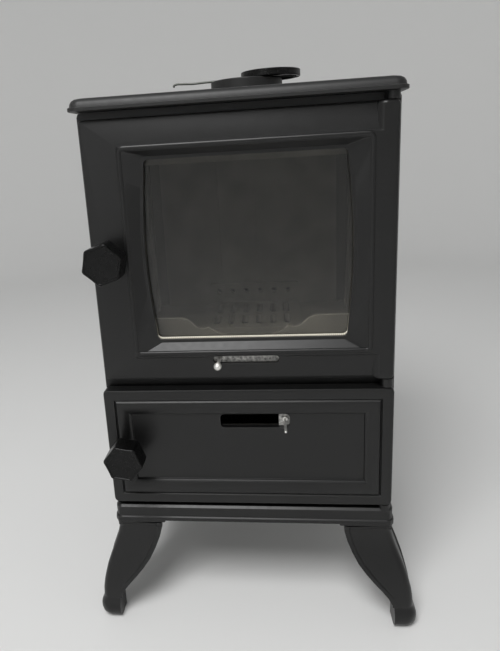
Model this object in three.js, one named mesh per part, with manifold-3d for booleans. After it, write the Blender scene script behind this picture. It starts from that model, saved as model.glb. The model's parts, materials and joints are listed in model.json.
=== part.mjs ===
// Small cast-iron stove on cabriole legs: a fire door with a bulging window, an ash door below it,
// a slotted air slide in each door, a flue collar on the top plate and a loose damper lying on it.
//
// Millimetres, +Z up, the stove faces -Y, the floor is z = 0. Fronts are drawn face on: x to the right,
// height up the page, and "reach" out of the page, counted forward from the face of the front frame.

import * as THREE from 'three';
import { mergeVertices } from 'three/addons/utils/BufferGeometryUtils.js';
import Module from 'manifold-3d';

const wasm = await Module();
wasm.setup();

// Driving sizes

const gap = 0.3;            // between pieces that touch
const overrun = 2;          // a cut starts and ends this far outside what it cuts
const weld = 1;             // fused shapes reach this far into each other

const body = { halfWidth: 178.5, depth: 289, wall: 8 };
const legHeight = 130.5;    // floor to the pads under the base
const stack = { skirt: 24.5, lowerGap: 6, lowerDoor: 158, doorGap: 11, upperDoor: 311, topGap: 9, plate: 14 };
const doorRear = 2;         // reach of the back of both doors
const doorThick = 19;       // back of a door to its highest face

// Heights that follow from the stack
const deckZ = legHeight + stack.skirt;
const lowerZ = { from: deckZ + stack.lowerGap, to: deckZ + stack.lowerGap + stack.lowerDoor };
const upperZ = { from: lowerZ.to + stack.doorGap, to: lowerZ.to + stack.doorGap + stack.upperDoor };
const plateZ = { from: upperZ.to + stack.topGap, to: upperZ.to + stack.topGap + stack.plate };
const faceReach = doorRear + doorThick;

const base = {
  frontReach: 19, cornerRadius: 9, skirtWall: 8, deck: 8,
  bead: 2.2, beadHeight: 9, edgeRound: 2.5,
  arch: { halfWidth: 112, rise: 3.6, sweep: 6 },
  boss: 46, bossHoleDepth: 13, runnerWidth: 8, runnerHeight: 21.5, runnerX: 108,
};
const frame = {
  thick: 8, cornerRadius: 5, mouthRadius: 12,
  mouthLeft: -130, mouthRight: 141,
  upperMouthSill: 13, upperMouthHead: 24, lowerMouthSill: 15, lowerMouthHead: 14,
  latchSlot: { halfWidth: 10.5, up: 11.5, down: 27 },
};
const hinge = { x: 167.5, reach: 13, pinRadius: 4, clearance: 0.35, socket: 12, lugRadius: 7, lugGap: 0.4 };
const plate = {
  overhangSide: 4.5, overhangFront: 6, overhangRear: 6, cornerRadius: 14,
  lipHeight: 4.4, lipStep: 2, roundInset: 12.5, pocketDepth: 6, pocketMargin: 5,
};
const collar = {
  x: 8, fromRear: 96, outer: 50, wall: 4.5, height: 28, flangeRadius: 68, flange: 6, fillet: 4,
  spigot: 5, boltCircle: 60, boltCount: 3, boltRadius: 3, boltHead: 5, boltHeadHeight: 4,
};
const damper = {
  radius: 41, thick: 9, rim: 5, dish: 2.5, offsetX: 34, offsetY: 6,
  rodRadius: 1.5, rodLeft: 104, rodRight: 66, hookDrop: 4.5, hookReach: 6,
};

const leg = {
  wall: 7, cornerRadius: 9, inset: 1.5, rimWidth: 5, rimSlope: 2.5,
  flange: 6, flangeSize: 50, boltIn: 34,
};
// Height, how far the corner has swept out, and the width of each face, from the ankle up
const legStations = [
  { z: 22, out: 24.5, wide: 25.5, rim: 0.2 },
  { z: 32, out: 24.6, wide: 26.5, rim: 0.4 },
  { z: 42, out: 24.0, wide: 31, rim: 0.8 },
  { z: 52, out: 22.4, wide: 37.5, rim: 1.4 },
  { z: 62, out: 20.0, wide: 44.5, rim: 1.8 },
  { z: 72, out: 17.2, wide: 50.5, rim: 2 },
  { z: 84, out: 12.8, wide: 55.5, rim: 2 },
  { z: 97, out: 7.6, wide: 57.5, rim: 2 },
  { z: 110, out: 3.0, wide: 58.5, rim: 2 },
  { z: 121, out: 0.6, wide: 59, rim: 2 },
];
const legTop = { bead: 1.4, beadHeight: 4 };
// The pad foot: height, sweep and radius of its quarter round, from the sole up
const footStations = [
  { z: 0, out: 27, radius: 25 },
  { z: 3, out: 28.8, radius: 27.6 },
  { z: 10, out: 29.6, radius: 29 },
  { z: 18, out: 29.2, radius: 28.8 },
  { z: 24, out: 27.4, radius: 27.2 },
  { z: 28, out: 25, radius: 24.6 },
];
const bolt = { radius: 4, clearance: 0.35, head: 7.5, headHeight: 5.5, length: 18 };

const upper = {
  halfWidth: 174.5, cornerRadius: 5, edge: 3, edgeReach: 13, footReach: 18.5, ridgeStep: 1.2,
  ridge: { left: -131.5, bottom: 31, top: 29.5, width: 6.5 },
  stile: { left: 151, flank: 6, edge: 4 },
  recess: { left: -125, right: 143.5, bottom: 37, top: 36, radius: 4, floorReach: 13 },
  opening: { left: -103.3, right: 122, bottom: 52, top: 46.5, bulge: 6.6, radius: 5 },
  lipWide: 3.6, lipThick: 4,
};
const pane = { margin: 6, thick: 4, gasket: 2.2, gasketShow: 1.6, pocketGap: 1 };
const retainer = { thick: 2, height: 14, side: 20, screwRadius: 2, screwInset: 4, screwHead: 3.6, screwHeadHeight: 1.6 };
const rope = { width: 8.4, proud: 1.7, bed: 4.7, fromMouth: 6, round: 2.6 };
const upperSlot = { left: -37, right: 42.3, fromBottom: 26.5, height: 10 };
const upperSlide = { left: -45, right: 52, height: 18, thick: 2, floorReach: 11, pinX: -29.5, travel: 65 };
const guide = { thick: 2, foot: 6, land: 2, air: 9.6, play: 0.5, screwLand: 8 };

const lower = {
  centreX: -1.1, halfWidth: 176.7, cornerRadius: 6, edge: 3.5,
  grooveInset: 13.3, grooveWide: 2.4, grooveDeep: 2, mouldWide: 18.5, mouldHigh: 6.5, panelDrop: 5,
};
const lowerSlot = { left: -32.5, right: 53, height: 18.3, radius: 5, belowPanelTop: 0.4 };
const lowerSlide = { left: 39.5, right: 130, height: 26.5, thick: 2, floorReach: 9.5, pinX: 47.2, travel: 74 };

const knob = {
  x: -149, corner: 25, thick: 27, bevel: 2.6, front: 61, neckRadius: 10, socket: 16, bossRadius: 11.5, bossRise: 1.5,
  upperTurn: 78.4, lowerTurn: -9.3,
};
const spindle = { radius: 5, clearance: 0.35, tail: 4, tailHead: 6.5, headThick: 2.5 };
const latch = { thick: 4, behind: 0.6, hubRadius: 9, arm: 24, armWide: 12 };
const ballPin = { rod: 2, ball: 4.8, reach: 20, head: 3.5, headThick: 1.2, clearance: 0.3 };
const plainPin = { rod: 1.6, nut: 3.3, nutThick: 2.5, reach: 29.5, head: 3.5, headThick: 1.2, clearance: 0.3 };

const shelf = { thick: 8, top: 346, rodNotch: 26, seatWide: 6, seatDeep: 4 };
const grate = { x: 5, halfWidth: 74, front: 116, length: 138, thick: 12, slots: 6, slotWide: 9, bar: 6, rimWide: 12, pip: 3.2, pipHigh: 3 };
const guard = { x: 5, halfWidth: 128, y: 24, thick: 6, endHigh: 52, foot: 14 };
const liner = { thick: 8, front: 33, rear: 262, foot: 152, height: 240, ribs: 5, ribWide: 9, ribHigh: 3.5 };
const backLiner = {
  halfWidth: 140, front: 269, thick: 8, boxX: 4, boxHalfWidth: 74, boxHigh: 26, boxDeep: 8,
  holes: 6, holePitch: 22.8, holeRadius: 4.4, ribX: [-51, 8.5], ribWide: 8, ribHigh: 3, panelTop: 100,
};
const baffle = { front: 70, thick: 7, sideGap: 1.5, lipHigh: 16 };
const pan = { halfWidth: 118, x: 5, front: 20, rear: 262, high: 66, wall: 1.5, lip: 7, grip: 60, gripReach: 8 };
const rod = { x: 160, front: 20, rear: 273, radius: 4, headRadius: 7.5, headHigh: 5, intoPlate: 4 };

// Materials

const paint = (name, color, roughness) =>
  new THREE.MeshStandardMaterial({ name, color, roughness, metalness: 0.2 });
const castPaint = paint('black stove paint on cast iron', 0x3a3937, 0.62);
const topPaint = paint('black stove paint, top casting', 0x454443, 0.6);
const rawCast = paint('plain cast iron', 0x55524e, 0.8);
const knobPaint = paint('black knob', 0x232220, 0.45);
const steel = new THREE.MeshStandardMaterial({ name: 'bright steel', color: 0xc6c4bf, roughness: 0.3, metalness: 1 });
const zinc = new THREE.MeshStandardMaterial({ name: 'zinc-plated sheet', color: 0x9a9993, roughness: 0.5, metalness: 1 });
const darkSteel = new THREE.MeshStandardMaterial({ name: 'blackened steel', color: 0x2e2d2c, roughness: 0.5, metalness: 0.8 });
const ropeFibre = new THREE.MeshStandardMaterial({ name: 'glass-fibre rope', color: 0x4a4a4c, roughness: 0.95, metalness: 0 });
const tape = new THREE.MeshStandardMaterial({ name: 'white glass tape', color: 0xe6e2d8, roughness: 0.9, metalness: 0 });
const glass = new THREE.MeshStandardMaterial({
  name: 'ceramic glass', color: 0x6b665c, roughness: 0.08, metalness: 0, transparent: true, opacity: 0.35,
});

// Solids

const halfTurn = Math.PI;
const quarterTurn = Math.PI / 2;

// A closed geometry as a solid, with its faces turned outward
function solid(geometry) {
  const bare = geometry.clone();
  bare.deleteAttribute('normal');
  bare.deleteAttribute('uv');
  const merged = mergeVertices(bare);
  const vertProperties = new Float32Array(merged.attributes.position.array);
  const triVerts = new Uint32Array(merged.index.array);
  if (signedVolume(vertProperties, triVerts) < 0) {
    for (let i = 0; i < triVerts.length; i += 3) {
      [triVerts[i], triVerts[i + 1]] = [triVerts[i + 1], triVerts[i]];
    }
  }
  return new wasm.Manifold(new wasm.Mesh({ numProp: 3, vertProperties, triVerts }));
}

function signedVolume(points, triangles) {
  const corner = (k) => new THREE.Vector3().fromArray(points, 3 * triangles[k]);
  let volume = 0;
  for (let i = 0; i < triangles.length; i += 3) {
    volume += corner(i).dot(corner(i + 1).cross(corner(i + 2)));
  }
  return volume;
}

function geometryOf(shape) {
  const mesh = shape.getMesh();
  const geometry = new THREE.BufferGeometry();
  geometry.setAttribute('position', new THREE.BufferAttribute(mesh.vertProperties, 3));
  geometry.setIndex(new THREE.BufferAttribute(mesh.triVerts, 1));
  geometry.computeVertexNormals();
  return geometry;
}

const asSolid = (shape) => (shape.isBufferGeometry ? solid(shape) : shape);
const join = (...shapes) => shapes.map(asSolid).reduce((all, next) => all.add(next));
const cut = (shape, ...tools) => tools.map(asSolid).reduce((all, next) => all.subtract(next), asSolid(shape));
const common = (shape, ...others) => others.map(asSolid).reduce((all, next) => all.intersect(next), asSolid(shape));

// Rings of equal count, one above the other along z, joined into one closed solid
function loft(rings) {
  const count = rings[0].length;
  const points = rings.flat().flatMap((p) => [p.x, p.y, p.z]);
  const index = [];
  for (let level = 0; level + 1 < rings.length; level += 1) {
    for (let i = 0; i < count; i += 1) {
      const a = level * count + i;
      const b = level * count + ((i + 1) % count);
      index.push(a, b, b + count, a, b + count, a + count);
    }
  }
  const faces = THREE.ShapeUtils.triangulateShape(rings[0].map((p) => new THREE.Vector2(p.x, p.y)), []);
  const top = (rings.length - 1) * count;
  for (const [a, b, c] of faces) {
    index.push(c, b, a);
    index.push(top + a, top + b, top + c);
  }
  const geometry = new THREE.BufferGeometry();
  geometry.setAttribute('position', new THREE.Float32BufferAttribute(points, 3));
  geometry.setIndex(index);
  return geometry;
}

const ringAt = (outline, z) => outline.map((p) => new THREE.Vector3(p.x, p.y, z));

// Outline points of a rectangle with round corners, counter-clockwise, the same count for any size
function roundRect(left, right, bottom, top, radius, steps = 3) {
  const corners = [
    [right - radius, bottom + radius, -quarterTurn],
    [right - radius, top - radius, 0],
    [left + radius, top - radius, quarterTurn],
    [left + radius, bottom + radius, halfTurn],
  ];
  return corners.flatMap(([x, y, start]) => Array.from({ length: steps + 1 }, (_, i) => {
    const angle = start + (quarterTurn * i) / steps;
    return new THREE.Vector2(x + radius * Math.cos(angle), y + radius * Math.sin(angle));
  }));
}

// Outline of the window: straight top and bottom, sides bulging outward, small round corners
function windowOutline(grow, steps = 8) {
  const { left, right, bottom, top, bulge } = upper.opening;
  const low = upperZ.from + bottom - grow;
  const high = upperZ.to - top + grow;
  const radius = upper.opening.radius + grow;
  const points = [];
  const side = (edge, sign) => Array.from({ length: steps + 1 }, (_, i) => {
    const share = i / steps;
    const z = low + radius + share * (high - low - radius - radius);
    return new THREE.Vector2(edge + sign * (grow + bulge * Math.sin(halfTurn * share)), z);
  });
  const corner = (x, z, start) => [1, 2].map((i) => {
    const angle = start + (quarterTurn * i) / 3;
    return new THREE.Vector2(x + radius * Math.cos(angle), z + radius * Math.sin(angle));
  });
  const nearRight = right + grow - radius;
  const nearLeft = left - grow + radius;
  points.push(new THREE.Vector2(nearRight, low), ...corner(nearRight, low + radius, -quarterTurn));
  points.push(...side(right, 1));
  points.push(...corner(nearRight, high - radius, 0), new THREE.Vector2(nearRight, high));
  points.push(new THREE.Vector2(nearLeft, high), ...corner(nearLeft, high - radius, quarterTurn));
  points.push(...side(left, -1).reverse());
  points.push(...corner(nearLeft, low + radius, halfTurn), new THREE.Vector2(nearLeft, low));
  return points;
}

// An outline pushed straight out between two levels, with an optional bevel at both ends
function slab(outline, from, to, bevel = 0, bevelSegments = 2) {
  const shape = outline instanceof THREE.Path ? outline : new THREE.Shape(outline);
  const geometry = new THREE.ExtrudeGeometry(shape, {
    depth: to - from - bevel - bevel,
    bevelEnabled: bevel > 0,
    bevelSize: bevel,
    bevelThickness: bevel,
    bevelOffset: -bevel,
    bevelSegments,
    curveSegments: 8,
  });
  return geometry.translate(0, 0, from + bevel);
}

const rectangle = (left, right, bottom, top) => [
  new THREE.Vector2(left, bottom), new THREE.Vector2(right, bottom),
  new THREE.Vector2(right, top), new THREE.Vector2(left, top),
];
const block = (left, right, bottom, top, from, to) => slab(rectangle(left, right, bottom, top), from, to);

function disc(x, y, radius, from, to, sides = 24) {
  const geometry = new THREE.CylinderGeometry(radius, radius, to - from, sides);
  return geometry.rotateX(quarterTurn).translate(x, y, (from + to) / 2);
}

// A profile of [radius, level] pairs turned about a line along z
function turned(profile, x, y, sides = 24) {
  const points = profile.map(([radius, level]) => new THREE.Vector2(radius, level));
  return new THREE.LatheGeometry(points, sides).rotateX(quarterTurn).scale(1, 1, 1).translate(x, y, 0);
}

// Turns a front drawing up: the page becomes the XZ plane and reach becomes -Y
const standUp = (shape) => {
  const geometry = shape.isBufferGeometry ? shape : geometryOf(shape);
  return geometry.rotateX(quarterTurn);
};

// Mirrors a lathe or plan shape left to right
const mirrored = (geometry) => geometryOf(solid(geometry.clone().scale(-1, 1, 1)));

const stove = new THREE.Group();

function add(name, shape, material, group = stove) {
  const geometry = shape.isBufferGeometry ? shape : geometryOf(shape);
  const mesh = new THREE.Mesh(geometry, material);
  mesh.name = name;
  group.add(mesh);
  return mesh;
}
const addFront = (name, shape, material) => add(name, standUp(shape), material);

// The four long rods that clamp the casing between base and top plate
const rodPlaces = [['left', -1], ['right', 1]].flatMap(([sideName, side]) =>
  [['front', rod.front], ['rear', rod.rear]].map(([endName, y]) => ({
    name: `tie_rod_${endName}_${sideName}`, x: side * rod.x, y,
  })));
const rodHole = ({ x, y }, from, to) => disc(x, y, rod.radius + bolt.clearance, from, to, 12);

// Base casting: a deck inside a beaded skirt that rises a little between its four leg pads

const planOutline = (grow, frontReach, rear, radius) =>
  roundRect(-body.halfWidth - grow, body.halfWidth + grow, -frontReach - grow, rear + grow, radius + grow);

// The cut under the skirt: a low arch with a short sweep at each end
function archCut(halfWidth, through) {
  const { rise, sweep } = base.arch;
  const shape = new THREE.Shape();
  shape.moveTo(-halfWidth - sweep, legHeight - overrun);
  shape.lineTo(-halfWidth - sweep, legHeight);
  shape.quadraticCurveTo(-halfWidth, legHeight, -halfWidth, legHeight + rise);
  shape.lineTo(halfWidth, legHeight + rise);
  shape.quadraticCurveTo(halfWidth, legHeight, halfWidth + sweep, legHeight);
  shape.lineTo(halfWidth + sweep, legHeight - overrun);
  return slab(shape, -through, through);
}

function buildBase() {
  const { bead, beadHeight, edgeRound, skirtWall, deck, boss, frontReach, cornerRadius } = base;
  const profile = [[0, 0.3], [0.12, 0.8], [0.5, 1], [0.88, 0.7], [1, 0]].map(
    ([heightShare, beadShare]) => [legHeight + heightShare * beadHeight, beadShare * bead]);
  profile.push([deckZ - edgeRound, 0], [deckZ, -edgeRound]);
  const skirt = loft(profile.map(([z, grow]) => ringAt(planOutline(grow, frontReach, body.depth, cornerRadius), z)));
  const hollow = slab(planOutline(-skirtWall, frontReach, body.depth, cornerRadius), legHeight - overrun, deckZ - deck);
  let shape = cut(skirt, hollow);
  const inner = body.halfWidth - skirtWall + weld;
  const bossDeck = deckZ - deck + weld;
  for (const side of [-1, 1]) {
    for (const end of [-frontReach + skirtWall - weld, body.depth - skirtWall + weld - boss]) {
      const near = side < 0 ? -inner : inner - boss;
      shape = join(shape, block(near, near + boss, end, end + boss, legHeight, bossDeck));
    }
    const rib = side * base.runnerX + pan.x;
    const half = base.runnerWidth / 2;
    const ribTop = deckZ + base.runnerHeight;
    shape = join(shape, block(rib - half, rib + half, pan.front, pan.rear, deckZ - weld, ribTop));
  }
  for (const place of legPlaces) {
    shape = cut(shape, disc(place.boltX, place.boltY, bolt.radius + bolt.clearance,
      legHeight - overrun, legHeight + base.bossHoleDepth, 16));
  }
  for (const place of rodPlaces) {
    const room = rod.headRadius + bolt.clearance;
    shape = cut(shape, disc(place.x, place.y, room, legHeight - overrun, deckZ - deck, 16));
    shape = cut(shape, rodHole(place, legHeight, deckZ + overrun));
  }
  // Low bearing under the ash door's hinge pin
  const lugTop = lowerZ.from - hinge.lugGap;
  shape = join(shape, disc(hinge.x, -hinge.reach, hinge.lugRadius, deckZ - weld - edgeRound, lugTop));
  const room = hinge.pinRadius + hinge.clearance;
  shape = cut(shape, disc(hinge.x, -hinge.reach, room, pinBottomZ, lugTop + overrun, 16));
  const reach = body.halfWidth + body.depth;
  const front = archCut(base.arch.halfWidth, reach).rotateX(quarterTurn);
  const sideCut = archCut((body.depth + frontReach) / 2 - (body.halfWidth - base.arch.halfWidth), reach)
    .rotateX(quarterTurn).rotateZ(quarterTurn).translate(0, (body.depth - frontReach) / 2, 0);
  const ledge = block(-inner + boss, inner - boss, -frontReach - overrun - bead, body.depth + bead + overrun,
    legHeight - overrun, deckZ);
  const sideLedge = block(-reach, reach, -frontReach + skirtWall + boss, body.depth - skirtWall - boss,
    legHeight - overrun, deckZ);
  shape = cut(shape, common(front, ledge), common(sideCut, sideLedge));
  return shape;
}

// Legs: an angle of two faces with a rolled rim, swept out and in, on a quarter-round pad foot

const legCorner = { x: body.halfWidth - leg.inset, front: -base.frontReach + leg.inset, rear: body.depth - leg.inset };
const legPlaces = [
  { name: 'leg_front_left', sideX: -1, sideY: -1, cornerY: legCorner.front },
  { name: 'leg_front_right', sideX: 1, sideY: -1, cornerY: legCorner.front },
  { name: 'leg_rear_left', sideX: -1, sideY: 1, cornerY: legCorner.rear },
  { name: 'leg_rear_right', sideX: 1, sideY: 1, cornerY: legCorner.rear },
].map((place) => ({
  ...place,
  boltX: place.sideX * (legCorner.x - leg.boltIn),
  boltY: place.cornerY - place.sideY * leg.boltIn,
}));

function legSection({ out, wide, rim }, steps = 4) {
  const { wall, cornerRadius, rimWidth, rimSlope } = leg;
  const end = out - wide;
  const step = end + rimWidth;
  const points = [[end, out - wall], [end, out + rim], [step, out + rim], [step + rimSlope, out]];
  for (let i = 0; i <= steps; i += 1) {
    const angle = quarterTurn - (quarterTurn * i) / steps;
    const middle = out - cornerRadius;
    points.push([middle + cornerRadius * Math.cos(angle), middle + cornerRadius * Math.sin(angle)]);
  }
  points.push([out, step + rimSlope], [out + rim, step], [out + rim, end], [out - wall, end]);
  points.push([out - wall, out - wall]);
  return points.map(([x, y]) => new THREE.Vector2(x, y)).reverse();
}

function footSection({ out, radius }, steps = 6) {
  const points = [new THREE.Vector2(out - radius, out - radius)];
  for (let i = 0; i <= steps; i += 1) {
    const angle = (quarterTurn * i) / steps;
    points.push(new THREE.Vector2(out - radius + radius * Math.cos(angle), out - radius + radius * Math.sin(angle)));
  }
  return points;
}

// One leg at the origin of its own corner, sweeping towards +X and +Y
function buildLeg() {
  const last = legStations[legStations.length - 1];
  const topZ = legHeight - gap;
  const beaded = { ...last, out: last.out + legTop.bead, wide: last.wide + legTop.bead };
  const stations = [
    ...legStations,
    { ...last, z: topZ - legTop.beadHeight },
    { ...beaded, z: topZ - legTop.beadHeight + legTop.bead },
    { ...beaded, z: topZ },
  ];
  const shank = loft(stations.map((station) => ringAt(legSection(station), station.z)));
  const foot = loft(footStations.map((station) => ringAt(footSection(station), station.z)));
  const flange = block(-leg.flangeSize, last.out - weld, -leg.flangeSize, last.out - weld, topZ - leg.flange, topZ);
  const hole = disc(-leg.boltIn, -leg.boltIn, bolt.radius + bolt.clearance, topZ - leg.flange - overrun, topZ + overrun, 16);
  return cut(join(shank, foot, flange), hole);
}

function buildLegBolt() {
  const under = legHeight - gap - leg.flange - gap;
  const head = new THREE.CylinderGeometry(bolt.head, bolt.head, bolt.headHeight, 6)
    .rotateX(quarterTurn).translate(0, 0, under - bolt.headHeight / 2);
  return join(head, disc(0, 0, bolt.radius, under - weld, under + bolt.length, 12));
}

function addLegs() {
  const shape = geometryOf(buildLeg());
  const fastener = geometryOf(buildLegBolt());
  for (const { name, sideX, sideY, cornerY, boltX, boltY } of legPlaces) {
    const turnedLeg = geometryOf(solid(shape.clone().scale(sideX, sideY, 1)));
    add(name, turnedLeg, castPaint).position.set(sideX * legCorner.x, cornerY, 0);
    add(name.replace('leg', 'leg_bolt'), fastener.clone(), darkSteel).position.set(boltX, boltY, 0);
  }
}

// Front frame: a flat casting with two mouths, a slot for each latch and the hinge lugs

const mouths = {
  upper: { from: upperZ.from + frame.upperMouthSill, to: upperZ.to - frame.upperMouthHead },
  lower: { from: lowerZ.from + frame.lowerMouthSill, to: lowerZ.to - frame.lowerMouthHead },
};
const latchZ = { upper: (upperZ.from + upperZ.to) / 2, lower: (lowerZ.from + lowerZ.to) / 2 };
const pinBottomZ = deckZ - base.deck + weld;

// A hinge lug in plan: a round end about the pin with a straight tail back to the frame
function lug(from, to) {
  const round = disc(hinge.x, -hinge.reach, hinge.lugRadius, from, to);
  const tail = block(hinge.x - hinge.lugRadius, hinge.x + hinge.lugRadius, -hinge.reach, weld, from, to);
  return join(round, tail);
}

function buildFrontFrame() {
  const low = deckZ + gap;
  const high = plateZ.from - gap;
  const { halfWidth, up, down } = frame.latchSlot;
  let shape = solid(slab(roundRect(-body.halfWidth, body.halfWidth, low, high, frame.cornerRadius, 2), -frame.thick, 0));
  for (const mouth of [mouths.upper, mouths.lower]) {
    const hole = roundRect(frame.mouthLeft, frame.mouthRight, mouth.from, mouth.to, frame.mouthRadius);
    shape = cut(shape, slab(hole, -frame.thick - overrun, overrun));
  }
  for (const z of [latchZ.upper, latchZ.lower]) {
    const slot = roundRect(knob.x - halfWidth, knob.x + halfWidth, z - down, z + up, halfWidth / 2);
    shape = cut(shape, slab(slot, -frame.thick - overrun, overrun));
  }
  shape = solid(standUp(shape));
  const { lugGap } = hinge;
  shape = join(shape, lug(upperZ.to + lugGap, high), lug(lowerZ.to + lugGap, upperZ.from - lugGap));
  return cut(shape, disc(hinge.x, -hinge.reach, hinge.pinRadius + hinge.clearance, lowerZ.to, high + overrun, 16));
}

function addHingePins() {
  const depth = hinge.socket - gap;
  const spans = {
    hinge_pin_top: [upperZ.to - depth, plateZ.from - gap],
    hinge_pin_middle: [lowerZ.to - depth, upperZ.from + depth],
    hinge_pin_bottom: [pinBottomZ + gap, lowerZ.from + depth],
  };
  for (const [name, [from, to]] of Object.entries(spans)) {
    const edge = hinge.pinRadius / 4;
    const profile = [[0, from], [hinge.pinRadius - edge, from], [hinge.pinRadius, from + edge],
      [hinge.pinRadius, to - edge], [hinge.pinRadius - edge, to], [0, to]];
    add(name, turned(profile, hinge.x, -hinge.reach, 16), darkSteel);
  }
}

// Side and back walls with the ledge that carries the shelf between fire and ash

const wallZ = { from: deckZ + gap, to: plateZ.from - gap };
const sideFront = frame.thick + gap;
const shelfUnder = shelf.top - shelf.thick - gap;
const ledge = { deep: 10, high: 9 };

// A ledge with a sloping underside, drawn as a section and run along a wall
function ledgeBar(length) {
  const section = new THREE.Shape([
    new THREE.Vector2(-weld, -ledge.high), new THREE.Vector2(0, -ledge.high),
    new THREE.Vector2(ledge.deep, -ledge.high / 3), new THREE.Vector2(ledge.deep, 0), new THREE.Vector2(-weld, 0),
  ]);
  return slab(section, 0, length).rotateX(quarterTurn);
}

function buildSide() {
  const wall = block(-body.wall, 0, sideFront, body.depth, wallZ.from, wallZ.to);
  const bar = ledgeBar(liner.rear - liner.front).translate(0, liner.rear, shelfUnder);
  return join(wall, bar);
}

function addWalls() {
  const side = geometryOf(buildSide());
  const inside = body.halfWidth - body.wall;
  add('left_side', side, castPaint).position.set(-inside, 0, 0);
  add('right_side', mirrored(side), castPaint).position.set(inside, 0, 0);
  const half = inside - gap;
  const back = block(-half, half, body.depth - body.wall, body.depth, wallZ.from, wallZ.to);
  add('back_plate', back, castPaint);
}

// Shelf between the firebox and the ash room, with a rebated hole for the grate

function buildShelf() {
  const half = body.halfWidth - body.wall - gap;
  const rear = body.depth - body.wall - gap;
  const under = shelf.top - shelf.thick;
  let shape = solid(block(-half, half, sideFront, rear, under, shelf.top));
  const hole = { left: grate.x - grate.halfWidth, right: grate.x + grate.halfWidth, rear: grate.front + grate.length };
  const { seatWide, seatDeep } = shelf;
  shape = cut(shape, block(hole.left + seatWide, hole.right - seatWide, grate.front + seatWide, hole.rear - seatWide,
    under - overrun, shelf.top + overrun));
  shape = cut(shape, block(hole.left - gap, hole.right + gap, grate.front - gap, hole.rear + gap,
    shelf.top - seatDeep, shelf.top + overrun));
  return cut(shape, ...rodPlaces.map((place) => rodHole(place, under - overrun, shelf.top + overrun)));
}

// Fire grate: slotted casting with a row of pips along its front bar

function buildGrate() {
  const left = grate.x - grate.halfWidth + gap;
  const right = grate.x + grate.halfWidth - gap;
  const front = grate.front + gap;
  const rear = grate.front + grate.length - gap;
  const from = shelf.top - shelf.seatDeep + gap;
  const to = from + grate.thick;
  let shape = solid(slab(roundRect(left, right, front, rear, grate.bar), from, to));
  const room = right - left - grate.rimWide - grate.rimWide;
  const pitch = room / grate.slots;
  const middle = (front + rear) / 2;
  for (let i = 0; i < grate.slots; i += 1) {
    const x = left + grate.rimWide + pitch * (i + 0.5);
    const half = grate.slotWide / 2;
    const rows = [[front + grate.rimWide + grate.bar, middle - grate.bar], [middle + grate.bar, rear - grate.rimWide]];
    for (const [near, far] of rows) {
      shape = cut(shape, slab(roundRect(x - half, x + half, near, far, half - gap, 2), from - overrun, to + overrun));
    }
    const pip = new THREE.ConeGeometry(grate.pip, grate.pipHigh, 8).rotateX(quarterTurn);
    shape = join(shape, solid(pip.translate(x, front + grate.rimWide, to + grate.pipHigh / 2 - gap)));
  }
  return shape;
}

// Log guard: an upright bar with three scallops in its top edge

function buildGuard() {
  const from = shelf.top + gap;
  const top = from + guard.endHigh;
  const { x, halfWidth, endHigh } = guard;
  // Places along the half width and heights as shares of the guard's own size
  const endShare = 0.68;
  const peakShare = 0.39;
  const peakHighShare = 0.75;
  const sideDipShare = 0.6;
  const middleDipShare = 0.33;
  const shape = new THREE.Shape();
  shape.moveTo(x - halfWidth, from);
  shape.lineTo(x + halfWidth, from);
  shape.lineTo(x + halfWidth, top);
  shape.lineTo(x + endShare * halfWidth, top);
  const peak = from + peakHighShare * endHigh;
  const sideDip = from + sideDipShare * endHigh;
  const middleDip = from + middleDipShare * endHigh;
  const between = (endShare + peakShare) / 2;
  shape.bezierCurveTo(x + between * halfWidth, top, x + between * halfWidth, sideDip, x + peakShare * halfWidth, peak);
  shape.bezierCurveTo(x + peakShare * halfWidth / 2, middleDip, x - peakShare * halfWidth / 2, middleDip,
    x - peakShare * halfWidth, peak);
  shape.bezierCurveTo(x - between * halfWidth, sideDip, x - between * halfWidth, top, x - endShare * halfWidth, top);
  shape.lineTo(x - halfWidth, top);
  const wall = slab(shape, -guard.y - guard.thick, -guard.y);
  const foot = block(x - halfWidth, x + halfWidth, from, from + guard.thick, -guard.y - guard.foot, -guard.y - weld);
  return join(wall, foot);
}

// Liners: leaning ribbed side plates and a back plate with a low box of air holes

function buildSideLiner() {
  const { thick, front, rear, ribs, ribWide, ribHigh, height, foot } = liner;
  const lean = (body.halfWidth - body.wall - gap - foot - thick) / height;
  const pitch = (rear - front) / ribs;
  const section = new THREE.Shape();
  section.moveTo(foot + thick, front);
  section.lineTo(foot + thick, rear);
  section.lineTo(foot, rear);
  for (let i = ribs - 1; i >= 0; i -= 1) {
    const middle = front + pitch * (i + 0.5);
    section.lineTo(foot, middle + ribWide / 2);
    section.lineTo(foot - ribHigh, middle + ribWide / 4);
    section.lineTo(foot - ribHigh, middle - ribWide / 4);
    section.lineTo(foot, middle - ribWide / 2);
  }
  section.lineTo(foot, front);
  const from = shelf.top + gap;
  const shear = new THREE.Matrix4().makeShear(0, 0, 0, 0, lean, 0);
  return slab(section, 0, height).applyMatrix4(shear).translate(0, 0, from);
}

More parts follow.
